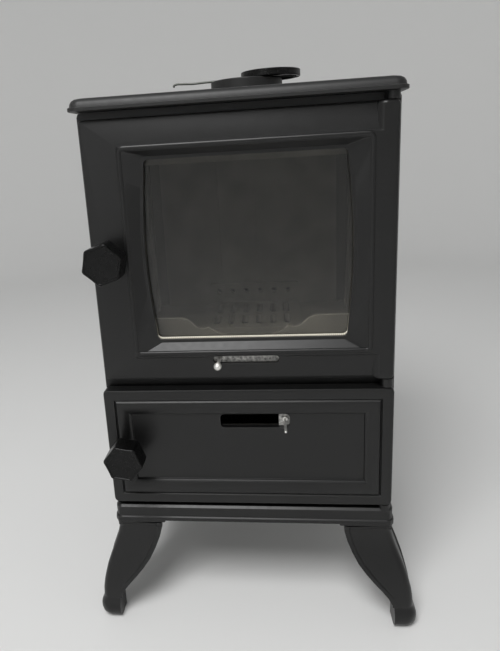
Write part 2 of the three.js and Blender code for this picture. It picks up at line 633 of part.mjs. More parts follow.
function buildBackLiner() {
  const { halfWidth, front, thick, boxX, boxHalfWidth, boxHigh, boxDeep, holes, holePitch, holeRadius } = backLiner;
  const from = shelf.top + gap;
  const to = from + liner.height + baffle.thick;
  const face = -front;
  let shape = solid(block(-halfWidth, halfWidth, from, to, face - thick, face));
  const box = slab(roundRect(boxX - boxHalfWidth, boxX + boxHalfWidth, from, from + grate.thick + boxHigh, holeRadius, 2),
    face - weld, face + boxDeep);
  shape = join(shape, box);
  for (const x of backLiner.ribX) {
    const half = backLiner.ribWide / 2;
    shape = join(shape, block(x - half, x + half, from + grate.thick + boxHigh, to - thick, face - weld,
      face + backLiner.ribHigh));
  }
  const z = from + grate.thick + boxHigh / 2;
  for (let i = 0; i < holes; i += 1) {
    const x = boxX + holePitch * (i - (holes - 1) / 2);
    shape = cut(shape, disc(x, z, holeRadius, face - thick - overrun, face + boxDeep + overrun, 10));
  }
  return shape;
}

// Baffle over the fire, resting on the side liners, its front edge turned up

function buildBaffle() {
  const from = shelf.top + gap + liner.height + gap;
  const rear = backLiner.front - gap;
  const { front, thick, lipHigh } = baffle;
  const halfWidth = body.halfWidth - body.wall - baffle.sideGap;
  const section = new THREE.Shape([
    new THREE.Vector2(front, from), new THREE.Vector2(rear, from), new THREE.Vector2(rear, from + thick),
    new THREE.Vector2(front + thick, from + thick), new THREE.Vector2(front - thick + weld, from + lipHigh),
    new THREE.Vector2(front - thick - weld, from + lipHigh - thick / 2),
  ]);
  return slab(section, -halfWidth, halfWidth).rotateX(quarterTurn).rotateZ(quarterTurn);
}

// Ash pan: an open sheet-steel tray with a turned front lip

function buildPan() {
  const from = deckZ + base.runnerHeight + gap;
  const to = from + pan.high;
  const { wall, lip, grip, gripReach, front, rear, x, halfWidth } = pan;
  const outer = slab(roundRect(x - halfWidth, x + halfWidth, front, rear, wall + wall), from, to);
  const inner = slab(roundRect(x - halfWidth + wall, x + halfWidth - wall, front + wall, rear - wall, wall),
    from + wall, to + overrun);
  const flange = block(x - grip, x + grip, front - gripReach, front + wall, to - wall, to);
  const turnedEdge = block(x - grip, x + grip, front - gripReach, front - gripReach + wall, to - lip, to);
  return join(cut(outer, inner), flange, turnedEdge);
}

// Four long rods that pull the top plate down onto the walls

const rodTop = plateZ.from + plate.pocketDepth + rod.intoPlate;

function addRods() {
  const under = deckZ - base.deck - gap;
  for (const { name, x, y } of rodPlaces) {
    const head = new THREE.CylinderGeometry(rod.headRadius, rod.headRadius, rod.headHigh, 6)
      .rotateX(quarterTurn).translate(0, 0, under - rod.headHigh / 2);
    const shank = disc(0, 0, rod.radius, under - weld, rodTop - gap, 12);
    add(name, join(head, shank), darkSteel).position.set(x, y, 0);
  }
}

// Top plate: a lip below, a round edge above, hollow underneath inside the walls

const collarY = body.depth + plate.overhangRear - collar.fromRear;

function buildTopPlate() {
  const { overhangSide, overhangFront, overhangRear, cornerRadius, lipHeight, lipStep, roundInset } = plate;
  const outline = (inset) => roundRect(
    -body.halfWidth - overhangSide + inset, body.halfWidth + overhangSide - inset,
    -faceReach - overhangFront + inset, body.depth + overhangRear - inset, cornerRadius - inset * 0.6, 4);
  const edge = stack.plate - lipHeight;
  const inset = roundInset - lipStep;
  const levels = [[0, lipStep / 4], [lipStep / 4, 0], [lipHeight - lipStep / 4, 0], [lipHeight, lipStep / 3]];
  levels.push([lipHeight + lipStep / 6, lipStep]);
  for (const [riseShare, insetShare] of [[0.4, 0.07], [0.7, 0.24], [0.9, 0.52], [1, 1]]) {
    levels.push([lipHeight + riseShare * edge, lipStep + insetShare * inset]);
  }
  const top = loft(levels.map(([rise, grow]) => ringAt(outline(grow), plateZ.from + rise)));
  const { pocketDepth, pocketMargin } = plate;
  const inside = body.halfWidth - body.wall - pocketMargin;
  const pocket = slab(roundRect(-inside, inside, frame.thick + pocketMargin,
    body.depth - body.wall - pocketMargin, pocketMargin), plateZ.from - overrun, plateZ.from + pocketDepth);
  const bore = disc(collar.x, collarY, collar.outer - collar.wall + gap, plateZ.from - overrun, plateZ.to + overrun, 32);
  const holes = rodPlaces.map((place) => rodHole(place, plateZ.from - overrun, rodTop));
  const screws = collarScrews().map(({ x, y }) =>
    disc(x, y, collar.boltRadius + bolt.clearance, plateZ.from + pocketDepth + weld, plateZ.to + overrun, 10));
  return cut(top, pocket, bore, ...holes, ...screws);
}

// Flue collar: a flanged ring held by three screws

const collarZ = plateZ.to + gap;

function collarScrews() {
  return Array.from({ length: collar.boltCount }, (_, i) => {
    const angle = quarterTurn + (2 * halfTurn * i) / collar.boltCount;
    return { x: collar.x + collar.boltCircle * Math.cos(angle), y: collarY + collar.boltCircle * Math.sin(angle) };
  });
}

function buildCollar() {
  const { outer, wall, height, flangeRadius, flange, fillet, spigot } = collar;
  const inner = outer - wall;
  const rimZ = collarZ + height;
  const profile = [
    [inner - wall, collarZ - spigot], [inner, collarZ - spigot], [inner, collarZ], [flangeRadius, collarZ],
    [flangeRadius, collarZ + flange - 1], [flangeRadius - 1, collarZ + flange], [outer + fillet, collarZ + flange],
    [outer + fillet / 4, collarZ + flange + fillet / 4], [outer, collarZ + flange + fillet],
    [outer, rimZ - 1], [outer - 1, rimZ], [inner + 0.5, rimZ], [inner, rimZ - 0.5],
    [inner, collarZ + flange], [inner - wall, collarZ + flange - wall], [inner - wall, collarZ - spigot],
  ];
  const ring = turned(profile, collar.x, collarY, 36);
  const holes = collarScrews().map(({ x, y }) =>
    disc(x, y, collar.boltRadius + bolt.clearance, collarZ - overrun, collarZ + flange + overrun, 10));
  return cut(ring, ...holes);
}

function addCollarScrews() {
  collarScrews().forEach(({ x, y }, i) => {
    const seat = collarZ + collar.flange + gap;
    const { boltHead, boltHeadHeight, boltRadius } = collar;
    const depth = stack.plate - plate.pocketDepth - weld - gap;
    const profile = [[0, plateZ.to - depth + gap], [boltRadius, plateZ.to - depth + gap], [boltRadius, seat],
      [boltHead, seat], [boltHead, seat + boltHeadHeight / 2], [boltHead / 2, seat + boltHeadHeight],
      [0, seat + boltHeadHeight]];
    add(`collar_screw_${i + 1}`, turned(profile, x, y, 12), darkSteel);
  });
}

// Loose damper: a round plate with a raised rim lying on the collar, its wire spindle under it

const rimZ = collarZ + collar.height;

function buildDamperPlate() {
  const from = rimZ + gap;
  const to = from + damper.thick;
  const { radius, rim, dish, rodRadius } = damper;
  const profile = [[0, from], [radius - 1, from], [radius, from + 1], [radius, to - 1], [radius - 1, to],
    [radius - rim, to], [radius - rim - 1, to - dish], [0, to - dish]];
  const plateShape = turned(profile, collar.x + damper.offsetX, collarY - damper.offsetY, 36);
  const channel = disc(0, 0, rodRadius + gap, -radius - radius, radius + radius, 8).rotateY(quarterTurn)
    .translate(collar.x + damper.offsetX, collarY, rimZ + gap + rodRadius);
  const open = block(collar.x + damper.offsetX - radius - overrun, collar.x + damper.offsetX + radius + overrun,
    collarY - rodRadius - gap, collarY + rodRadius + gap, from - overrun, rimZ + gap + rodRadius);
  return cut(plateShape, channel, open);
}

function buildDamperRod() {
  const z = rimZ + gap + damper.rodRadius;
  const left = collar.x - damper.rodLeft;
  const path = new THREE.CurvePath();
  const bend = damper.hookReach / 2;
  const start = new THREE.Vector3(left, collarY, z - damper.hookDrop);
  const corner = new THREE.Vector3(left, collarY, z);
  const straight = new THREE.Vector3(left + bend, collarY, z);
  path.add(new THREE.QuadraticBezierCurve3(start, corner, straight));
  path.add(new THREE.LineCurve3(straight, new THREE.Vector3(collar.x + damper.rodRight, collarY, z)));
  const section = new THREE.Shape(Array.from({ length: 8 }, (_, i) => {
    const angle = (2 * halfTurn * i) / 8;
    return new THREE.Vector2(damper.rodRadius * Math.cos(angle), damper.rodRadius * Math.sin(angle));
  }));
  return solid(new THREE.ExtrudeGeometry(section, { extrudePath: path, steps: 12, bevelEnabled: false }));
}

// Fire door: sloping rails round a raised ridge, a flat hinge stile, a bevelled window recess

function hexahedron(low, high, fromReach, toReach) {
  return loft([ringAt(rectangle(...low), fromReach), ringAt(rectangle(...high), toReach)]);
}

function buildUpperDoor() {
  const { halfWidth, edge, edgeReach, footReach, ridge, stile, recess, ridgeStep } = upper;
  const z = upperZ;
  const rect = (left, right, bottom, top) => [left, right, z.from + bottom, z.to - top];
  const outline = roundRect(-halfWidth, halfWidth, z.from, z.to, upper.cornerRadius);
  // Rails: from the outer edge up to the foot of the ridge
  const back = slab(outline, doorRear, edgeReach, edge);
  const hidden = stile.left + stile.flank + weld;
  const rails = hexahedron(rect(-halfWidth + edge, hidden, edge, edge), rect(ridge.left, hidden, ridge.bottom, ridge.top),
    edgeReach, footReach);
  const under = block(-halfWidth + edge, hidden, z.from + edge, z.to - edge, edgeReach - edge - weld, edgeReach);
  // Ridge and stile at full height
  const ridgeOutline = roundRect(...rect(ridge.left, halfWidth - upper.cornerRadius, ridge.bottom, ridge.top), ridge.width / 2);
  const ridgeSlab = loft([
    ringAt(ridgeOutline, edgeReach),
    ringAt(ridgeOutline, faceReach - ridgeStep),
    ringAt(roundRect(...rect(ridge.left + ridgeStep, halfWidth - upper.cornerRadius - ridgeStep,
      ridge.bottom + ridgeStep, ridge.top + ridgeStep), ridge.width / 2), faceReach),
  ]);
  const stileLow = roundRect(stile.left, halfWidth, z.from, z.to, upper.cornerRadius);
  const stileHigh = roundRect(stile.left + stile.flank, halfWidth - stile.edge, z.from + stile.edge / 2,
    z.to - stile.edge / 2, upper.cornerRadius);
  const stileMid = roundRect(stile.left + stile.flank * 0.6, halfWidth - stile.edge * 0.3, z.from + stile.edge * 0.15,
    z.to - stile.edge * 0.15, upper.cornerRadius);
  const stileSlab = loft([ringAt(stileLow, edgeReach - edge - weld), ringAt(stileLow, footReach - stile.edge / 2),
    ringAt(stileMid, faceReach - stile.edge * 0.35), ringAt(stileHigh, faceReach)]);
  const boss = disc(knob.x, latchZ.upper, knob.bossRadius, edgeReach - edge, footReach);
  let shape = join(back, under, rails, ridgeSlab, stileSlab, boss);
  // Window recess: a bevel from a round rectangle down to the lip of the glass
  const mouth = windowRing(rect(recess.left, recess.right, recess.bottom, recess.top), recess.radius);
  const lip = windowOutline(upper.lipWide);
  shape = cut(shape, loft([ringAt(lip, recess.floorReach), ringAt(mouth, faceReach), ringAt(mouth, faceReach + overrun)]));
  shape = cut(shape, slab(windowOutline(0), doorRear - overrun, faceReach));
  const paneBox = paneRect(pane.pocketGap);
  shape = cut(shape, block(...paneBox, doorRear - overrun, recess.floorReach - upper.lipThick));
  // Air slot, and the pocket for its slide behind the rail
  const slotZ = upperSlotZ;
  const slotRadius = upperSlot.height / 2 - gap;
  const slot = roundRect(upperSlot.left, upperSlot.right, slotZ - upperSlot.height / 2, slotZ + upperSlot.height / 2,
    slotRadius, 4);
  shape = cut(shape, slab(slot, doorRear, faceReach + overrun));
  shape = cut(shape, slidePocket(upperSlide, slotZ, 1));
  // The ridge dips round the slot
  const scoop = roundRect(upperSlot.left - upperSlot.height, upperSlot.right + upperSlot.height,
    slotZ - upperSlot.height, slotZ + upperSlot.height / 2 + ridgeStep, upperSlot.height / 2, 4);
  shape = cut(shape, slab(scoop, footReach, faceReach + overrun));
  shape = cut(shape, slab(ropeBand(mouths.upper, gap), doorRear - overrun, doorRear + rope.bed + gap));
  shape = cut(shape, disc(knob.x, latchZ.upper, spindle.radius + spindle.clearance, 0, faceReach + overrun, 16));
  const screws = retainerScrews().map(({ x, z: height }) =>
    disc(x, height, retainer.screwRadius + gap, doorRear - overrun, doorRear + screwDepth + gap, 8));
  shape = cut(shape, ...screws);
  return cut(standUp(shape), ...hingeSockets(z));
}

// The recess mouth with as many points as the window outline, each opposite its own
function windowRing([left, right, bottom, top], radius) {
  const from = windowOutline(0);
  const low = Math.min(...from.map((p) => p.y));
  const high = Math.max(...from.map((p) => p.y));
  const edge = upper.opening.radius;
  const middle = (upper.opening.left + upper.opening.right) / 2;
  const scaleZ = (top - bottom - radius - radius) / (high - low - edge - edge);
  return from.map((p) => {
    const onRight = p.x > middle;
    const inCorner = p.y < low + edge - gap / 100 || p.y > high - edge + gap / 100;
    if (!inCorner) {
      return new THREE.Vector2(onRight ? right : left, bottom + radius + (p.y - low - edge) * scaleZ);
    }
    const isTop = p.y > (low + high) / 2;
    const centreX = onRight ? upper.opening.right - edge : upper.opening.left + edge;
    const centreZ = isTop ? high - edge : low + edge;
    const nearX = onRight ? right - radius : left + radius;
    const nearZ = isTop ? top - radius : bottom + radius;
    return new THREE.Vector2(nearX + ((p.x - centreX) * radius) / edge, nearZ + ((p.y - centreZ) * radius) / edge);
  });
}

const upperSlotZ = upperZ.from + upperSlot.fromBottom;
const screwDepth = 5;

function paneRect(grow) {
  const { left, right, bottom, top, bulge } = upper.opening;
  const { margin } = pane;
  return [left - bulge - margin - grow, right + bulge + margin + grow,
    upperZ.from + bottom - margin - grow, upperZ.to - top + margin + grow];
}

function hingeSockets(z) {
  const room = hinge.pinRadius + hinge.clearance;
  return [
    disc(hinge.x, -hinge.reach, room, z.to - hinge.socket, z.to + overrun, 16),
    disc(hinge.x, -hinge.reach, room, z.from - overrun, z.from + hinge.socket, 16),
  ];
}

// The bed of a rope seal round a mouth, as a shape with a hole
function ropeBand(mouth, grow) {
  const { fromMouth, width } = rope;
  const middle = [frame.mouthLeft - fromMouth, frame.mouthRight + fromMouth, mouth.from - fromMouth, mouth.to + fromMouth];
  const half = width / 2 + grow;
  const radius = frame.mouthRadius;
  const [left, right, low, high] = middle;
  const shape = new THREE.Shape(roundRect(left - half, right + half, low - half, high + half, radius + half));
  shape.holes.push(new THREE.Path(roundRect(left + half, right - half, low + half, high - half, radius - half)));
  return shape;
}

function buildRope(mouth) {
  return slab(ropeBand(mouth, 0), doorRear - rope.proud, doorRear + rope.bed, rope.round / 2, 1);
}

// Glass, its tape, the two strips that clamp it and their screws

const paneFront = upper.recess.floorReach - upper.lipThick - pane.gasket - gap;
const retainerReach = doorRear - gap;

function buildTape() {
  const outline = new THREE.Shape(rectangle(...paneRect(0)));
  const hole = windowOutline(0).map((p) => {
    const show = p.y < upperZ.from + upper.opening.bottom + upper.opening.radius ? pane.gasketShow : 0;
    return new THREE.Vector2(p.x, p.y + show);
  });
  outline.holes.push(new THREE.Path(hole));
  return slab(outline, paneFront + gap, paneFront + pane.gasket);
}

function retainerBars() {
  const [left, right, low, high] = paneRect(0);
  const { side, height } = retainer;
  const lap = pane.margin - 1;
  return {
    bottom: [left + side, right - side, low + lap - height, low + lap],
    top: [left + side, right - side, high - lap, high - lap + height],
  };
}

function retainerScrews() {
  const bars = retainerBars();
  const { screwInset, side } = retainer;
  const places = [];
  for (const [name, [left, right, low, high]] of Object.entries(bars)) {
    const z = name === 'bottom' ? low + screwInset : high - screwInset;
    places.push({ name: `${name}_left`, x: left + side, z }, { name: `${name}_right`, x: right - side, z });
  }
  return places;
}

function addGlazing() {
  const low = paneFront - pane.thick;
  addFront('window_glass', slab(roundRect(...paneRect(0), 2, 2), low, paneFront, gap), glass);
  addFront('window_tape', buildTape(), tape);
  const { thick, screwRadius } = retainer;
  for (const [name, box] of Object.entries(retainerBars())) {
    let strip = solid(slab(roundRect(...box, 3, 2), retainerReach - thick, retainerReach));
    for (const { x, z } of retainerScrews()) {
      strip = cut(strip, disc(x, z, screwRadius + gap, retainerReach - thick - overrun, retainerReach + overrun, 8));
    }
    addFront(`glass_strip_${name}`, strip, darkSteel);
  }
  const { screwHead, screwHeadHeight } = retainer;
  for (const { name, x, z } of retainerScrews()) {
    const seat = retainerReach - thick - gap;
    const profile = [[0, seat - screwHeadHeight], [screwHead / 2, seat - screwHeadHeight], [screwHead, seat],
      [screwRadius, seat], [screwRadius, doorRear + screwDepth], [0, doorRear + screwDepth]];
    addFront(`glass_screw_${name}`, turned(profile, x, z, 10), steel);
  }
}

// Air slides: a plate behind the slot, a strip that keeps it there, and a pin to push

function slidePocket(slide, z, along) {
  const { left, right, height, travel, floorReach } = slide;
  const from = Math.min(left, left + along * travel) - guide.screwLand;
  const to = Math.max(right, right + along * travel) + guide.screwLand;
  const half = height / 2 + guide.play;
  return block(from, to, z - half, z + half, doorRear - overrun, floorReach);
}

function buildSlide(slide, z, pinRoom) {
  const { left, right, height, thick, floorReach } = slide;
  const plateShape = slab(roundRect(left, right, z - height / 2, z + height / 2, thick, 2),
    floorReach - gap - thick, floorReach - gap);
  return cut(plateShape, disc(slide.pinX, z, pinRoom, doorRear, floorReach + overrun, 12));
}

function buildGuide(slide, z, air, along) {
  const { left, right, height, travel, thick, floorReach } = slide;
  const from = Math.min(left, left + along * travel) - guide.screwLand + gap;
  const to = Math.max(right, right + along * travel) + guide.screwLand - gap;
  const top = floorReach - gap - thick - gap;
  const { foot } = guide;
  let strip = solid(slab(roundRect(from, to, z - height / 2, z + height / 2, thick, 2), top - guide.thick, top));
  for (const end of [from, to - foot]) {
    strip = join(strip, block(end, end + foot, z - height / 2, z + height / 2, top - weld, floorReach - gap));
  }
  const land = foot + guide.land;
  const window = roundRect(from + land, to - land, z - air / 2, z + air / 2, air / 4);
  return cut(strip, slab(window, doorRear - overrun, floorReach));
}

function buildPin(pin, slide, z, surface) {
  const { floorReach, thick } = slide;
  const back = floorReach - gap - thick - gap;
  const front = surface + pin.reach;
  const profile = [[0, back - pin.headThick], [pin.head, back - pin.headThick], [pin.head, back], [pin.rod, back]];
  if (pin.ball) {
    const steps = 6;
    const start = Math.asin(pin.rod / pin.ball);
    for (let i = 0; i < steps; i += 1) {
      const angle = start + ((halfTurn - start) * i) / steps;
      profile.push([pin.ball * Math.sin(angle), front - pin.ball * Math.cos(angle)]);
    }
    profile.push([0, front + pin.ball]);
  } else {
    const seat = floorReach;
    profile.push([pin.rod, seat], [pin.nut, seat], [pin.nut, seat + pin.nutThick], [pin.rod, seat + pin.nutThick]);
    profile.push([pin.rod, front - pin.rod / 2], [pin.rod / 2, front], [0, front]);
  }
  return turned(profile, slide.pinX, z, 12);
}

const lowerPanelTop = lowerZ.to - lower.grooveInset - lower.grooveWide - lower.mouldWide;
const lowerSlotZ = lowerPanelTop - lowerSlot.belowPanelTop - lowerSlot.height / 2;

function addSlides() {
  const upperAir = guide.air;
  addFront('upper_air_slide', buildSlide(upperSlide, upperSlotZ, ballPin.rod + ballPin.clearance), zinc);
  addFront('upper_slide_guide', buildGuide(upperSlide, upperSlotZ, upperAir, 1), darkSteel);
  addFront('upper_slide_pin', buildPin(ballPin, upperSlide, upperSlotZ, upper.footReach), steel);
  const lowerAir = lowerSlot.height - gap;
  addFront('lower_air_slide', buildSlide(lowerSlide, lowerSlotZ, plainPin.rod + plainPin.clearance), zinc);
  addFront('lower_slide_guide', buildGuide(lowerSlide, lowerSlotZ, lowerAir, -1), darkSteel);
  addFront('lower_slide_pin', buildPin(plainPin, lowerSlide, lowerSlotZ, faceReach - lower.panelDrop), steel);
}

// Ash door: a flat border, a groove and a half-round moulding round a sunk panel

function buildLowerDoor() {
  const { centreX, halfWidth, edge, grooveInset, grooveWide, grooveDeep, mouldWide, mouldHigh, panelDrop } = lower;
  const z = lowerZ;
  const outline = roundRect(centreX - halfWidth, centreX + halfWidth, z.from, z.to, lower.cornerRadius);
  const blank = slab(outline, doorRear, faceReach, edge);
  const ring = (inset, reach) => ringAt(rectangle(centreX - halfWidth + inset, centreX + halfWidth - inset,
    z.from + inset, z.to - inset), reach);
  // Everything inside the border is cut out, then the moulded field is put back
  const fieldInset = grooveInset + grooveWide / 2;
  const field = cut(blank, slab(ring(fieldInset, 0).map((p) => new THREE.Vector2(p.x, p.y)),
    faceReach - panelDrop - weld, faceReach + overrun));
  const groove = loft([ring(grooveInset + grooveWide / 2, faceReach - grooveDeep), ring(grooveInset, faceReach),
    ring(grooveInset - overrun, faceReach + overrun)]);
  const panel = faceReach - panelDrop;
  const mouldStart = grooveInset + grooveWide;
  const levels = [ring(grooveInset, panel - weld - weld), ring(grooveInset + grooveWide / 2, faceReach - grooveDeep)];
  const steps = 7;
  for (let i = 0; i <= steps; i += 1) {
    const angle = (halfTurn * i) / steps;
    const inset = mouldStart + (mouldWide * (1 - Math.cos(angle))) / 2;
    const start = faceReach - grooveDeep / 2;
    const share = i / steps;
    levels.push(ring(inset, start + (panel - start) * share + (mouldHigh - panelDrop / 2) * Math.sin(angle)));
  }
  const mould = mouldedField(levels);
  const boss = disc(knob.x, latchZ.lower, knob.bossRadius, panel, faceReach + knob.bossRise);
  let shape = join(cut(field, groove), mould, boss);
  const slot = roundRect(lowerSlot.left, lowerSlot.right, lowerSlotZ - lowerSlot.height / 2,
    lowerSlotZ + lowerSlot.height / 2, lowerSlot.radius, 3);
  shape = cut(shape, slab(slot, doorRear, faceReach + overrun));
  shape = cut(shape, slidePocket(lowerSlide, lowerSlotZ, -1));
  shape = cut(shape, slab(ropeBand(mouths.lower, gap), doorRear - overrun, doorRear + rope.bed + gap));
  shape = cut(shape, disc(knob.x, latchZ.lower, spindle.radius + spindle.clearance, 0, faceReach + overrun, 16));
  return cut(standUp(shape), ...hingeSockets(z));
}

// A field whose rings step inward while its surface rises and falls, closed by a flat back
function mouldedField(levels) {
  const count = levels[0].length;
  const points = levels.flat().flatMap((p) => [p.x, p.y, p.z]);
  const index = [];
  for (let level = 0; level + 1 < levels.length; level += 1) {
    for (let i = 0; i < count; i += 1) {
      const a = level * count + i;
      const b = level * count + ((i + 1) % count);
      index.push(a, b, b + count, a, b + count, a + count);
    }
  }
  const top = (levels.length - 1) * count;
  index.push(top, top + 1, top + 2, top, top + 2, top + 3, 2, 1, 0, 3, 2, 0);
  const geometry = new THREE.BufferGeometry();
  geometry.setAttribute('position', new THREE.Float32BufferAttribute(points, 3));
  geometry.setIndex(index);
  return geometry;
}

// Knob, spindle and tongue of each latch; at rest the tongue hangs down, clear of the frame

function addLatch(name, z, surface, turn) {
  const { corner, thick, bevel, front, neckRadius, socket } = knob;
  const hexagon = (radius) => Array.from({ length: 6 }, (_, i) => {
    const angle = turn + (2 * halfTurn * i) / 6;
    return new THREE.Vector2(knob.x + radius * Math.cos(angle), z + radius * Math.sin(angle));
  });
  const rear = front - thick;
  const head = loft([ringAt(hexagon(corner - bevel), rear), ringAt(hexagon(corner), rear + bevel),
    ringAt(hexagon(corner), front - bevel), ringAt(hexagon(corner - bevel), front)]);
  const neck = disc(knob.x, z, neckRadius, surface + gap, rear + weld);
  const socketRoom = spindle.radius + spindle.clearance;
  const grip = cut(join(head, neck), disc(knob.x, z, socketRoom, surface, rear + socket, 16));
  addFront(`${name}_knob`, grip, knobPaint);

  const back = -frame.thick - latch.behind;
  const rearFace = back - latch.thick;
  const { radius, tail, tailHead, headThick } = spindle;
  const profile = [
    [0, rearFace - gap - headThick], [tailHead, rearFace - gap - headThick], [tailHead, rearFace - gap],
    [tail, rearFace - gap], [tail, back + gap], [radius, back + gap], [radius, rear + socket - gap],
    [0, rear + socket - gap],
  ];
  addFront(`${name}_spindle`, turned(profile, knob.x, z, 16), darkSteel);

  const { hubRadius, arm, armWide } = latch;
  const tongue = join(disc(knob.x, z, hubRadius, rearFace, back, 24),
    slab(roundRect(knob.x - armWide / 2, knob.x + armWide / 2, z - arm, z, armWide / 4, 2), rearFace, back));
  addFront(`${name}_tongue`, cut(tongue, disc(knob.x, z, tail + gap, rearFace - overrun, back + overrun, 16)), steel);
}

// Assembly

add('base', buildBase(), castPaint);
addLegs();
add('front_frame', buildFrontFrame(), castPaint);
addHingePins();
addWalls();
add('shelf', buildShelf(), rawCast);
add('fire_grate', buildGrate(), rawCast);
addFront('log_guard', buildGuard(), rawCast);
const sideLiner = buildSideLiner();
add('liner_right', geometryOf(solid(sideLiner)), rawCast);
add('liner_left', mirrored(sideLiner), rawCast);
addFront('liner_back', buildBackLiner(), rawCast);
add('baffle', buildBaffle(), rawCast);
add('ash_pan', buildPan(), darkSteel);
addRods();
add('top_plate', buildTopPlate(), topPaint);
add('flue_collar', buildCollar(), topPaint);
addCollarScrews();
add('damper_plate', buildDamperPlate(), knobPaint);
add('damper_rod', buildDamperRod(), steel);
add('upper_door', buildUpperDoor(), castPaint);
addFront('upper_door_rope', buildRope(mouths.upper), ropeFibre);
addGlazing();
addSlides();
addLatch('upper', latchZ.upper, upper.footReach, THREE.MathUtils.degToRad(knob.upperTurn));
add('lower_door', buildLowerDoor(), castPaint);
addFront('lower_door_rope', buildRope(mouths.lower), ropeFibre);
addLatch('lower', latchZ.lower, faceReach + knob.bossRise, THREE.MathUtils.degToRad(knob.lowerTurn));

// The origin goes to the floor under the middle of the whole stove
const footReach = Math.max(...footStations.map((station) => station.out));
stove.position.y = (knob.front - (legCorner.rear + footReach)) / 2;

export default stove;
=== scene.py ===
import json
import math

import bmesh
import bpy
from mathutils import Matrix, Vector


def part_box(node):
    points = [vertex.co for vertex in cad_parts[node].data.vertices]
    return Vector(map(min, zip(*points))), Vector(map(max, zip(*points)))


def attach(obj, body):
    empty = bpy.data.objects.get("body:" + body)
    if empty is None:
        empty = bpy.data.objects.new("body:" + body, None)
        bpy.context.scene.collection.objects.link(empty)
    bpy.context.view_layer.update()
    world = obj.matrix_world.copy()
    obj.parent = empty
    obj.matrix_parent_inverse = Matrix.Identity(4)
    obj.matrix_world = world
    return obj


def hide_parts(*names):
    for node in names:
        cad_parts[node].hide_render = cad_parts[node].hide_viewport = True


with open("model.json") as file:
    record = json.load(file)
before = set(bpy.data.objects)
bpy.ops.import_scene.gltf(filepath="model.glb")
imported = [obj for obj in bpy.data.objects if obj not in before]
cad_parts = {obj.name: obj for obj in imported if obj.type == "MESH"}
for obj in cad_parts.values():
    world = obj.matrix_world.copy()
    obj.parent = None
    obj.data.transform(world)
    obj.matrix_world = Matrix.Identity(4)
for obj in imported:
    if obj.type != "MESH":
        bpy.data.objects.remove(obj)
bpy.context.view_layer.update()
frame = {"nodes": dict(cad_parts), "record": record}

MM = 0.001
RECORD = frame["record"]
BODY_OF = {node: body for body, nodes in RECORD["behaviour"]["bodies"].items() for node in nodes}
SLOT_OF = {part["node"]: part["material_slot"] for part in RECORD["subparts"]}

# The photograph's camera, as found from its vanishing points
IMAGE_WIDTH, IMAGE_HEIGHT = 500, 651
FOCAL_PX = 563.69
CENTRE_PX = (206.16, 297.81)
SENSOR_HEIGHT = 36.0
CAMERA_PLACE = (0.0385, -0.77835, 0.6013)
CAMERA_RIGHT = (0.99232903, 0.10871364, -0.05885948)
CAMERA_DOWN = (-0.02895138, -0.25851296, -0.96557386)
CAMERA_FORWARD = (-0.12018698, 0.95987103, -0.2533825)


def set_camera():
    """The photograph's camera: its lens from the focal length, and its shift from the centre's place."""
    data = bpy.data.cameras.new("camera")
    data.sensor_fit = "VERTICAL"
    data.sensor_height = SENSOR_HEIGHT
    data.lens = FOCAL_PX * SENSOR_HEIGHT / IMAGE_HEIGHT
    data.shift_x = (IMAGE_WIDTH / 2 - CENTRE_PX[0]) / IMAGE_HEIGHT
    data.shift_y = (CENTRE_PX[1] - IMAGE_HEIGHT / 2) / IMAGE_HEIGHT
    data.clip_start = 0.01
    camera = bpy.data.objects.new("camera", data)
    bpy.context.scene.collection.objects.link(camera)
    turn = Matrix((CAMERA_RIGHT, [-v for v in CAMERA_DOWN], [-v for v in CAMERA_FORWARD])).transposed()
    camera.matrix_world = Matrix.Translation(CAMERA_PLACE) @ turn.to_4x4()
    bpy.context.scene.camera = camera


# Colours, nodes and materials, with the sizes and depths of their patterns in millimetres


def linear(colour):
    """An sRGB hex colour as linear RGBA."""
    parts = [int(colour[i:i + 2], 16) / 255 for i in (1, 3, 5)]
    return [c / 12.92 if c <= 0.04045 else ((c + 0.055) / 1.055) ** 2.4 for c in parts] + [1.0]


def level(value):
    """A plain amount as the colour that a ramp's stop takes."""
    return [value, value, value, 1.0]


def scale_of(size_mm):
    """The scale of a pattern whose features are about this size, on coordinates in metres."""
    return 1 / (size_mm * MM)


def add_node(tree, kind, settings=None, links=None, stops=()):
    """One shader node: its settings, its inputs as values or sockets, and a ramp's stops."""
    node = tree.nodes.new(kind)
    for key, value in (settings or {}).items():
        setattr(node, key, value)
    for key, value in (links or {}).items():
        if isinstance(value, bpy.types.NodeSocket):
            tree.links.new(value, node.inputs[key])
        else:
            node.inputs[key].default_value = value
    for i, (place, colour) in enumerate(stops):
        element = node.color_ramp.elements[i] if i < 2 else node.color_ramp.elements.new(place)
        element.position = place
        element.color = colour
    return node


def new_material(name, settings):
    """A material with a Principled shader, its constants set, and its object coordinates."""
    material = bpy.data.materials.new(name)
    material.use_nodes = True
    tree = material.node_tree
    tree.nodes.clear()
    shader = add_node(tree, "ShaderNodeBsdfPrincipled", None, settings)
    add_node(tree, "ShaderNodeOutputMaterial", None, {"Surface": shader.outputs["BSDF"]})
    coords = add_node(tree, "ShaderNodeTexCoord").outputs["Object"]
    return material, tree, shader, coords


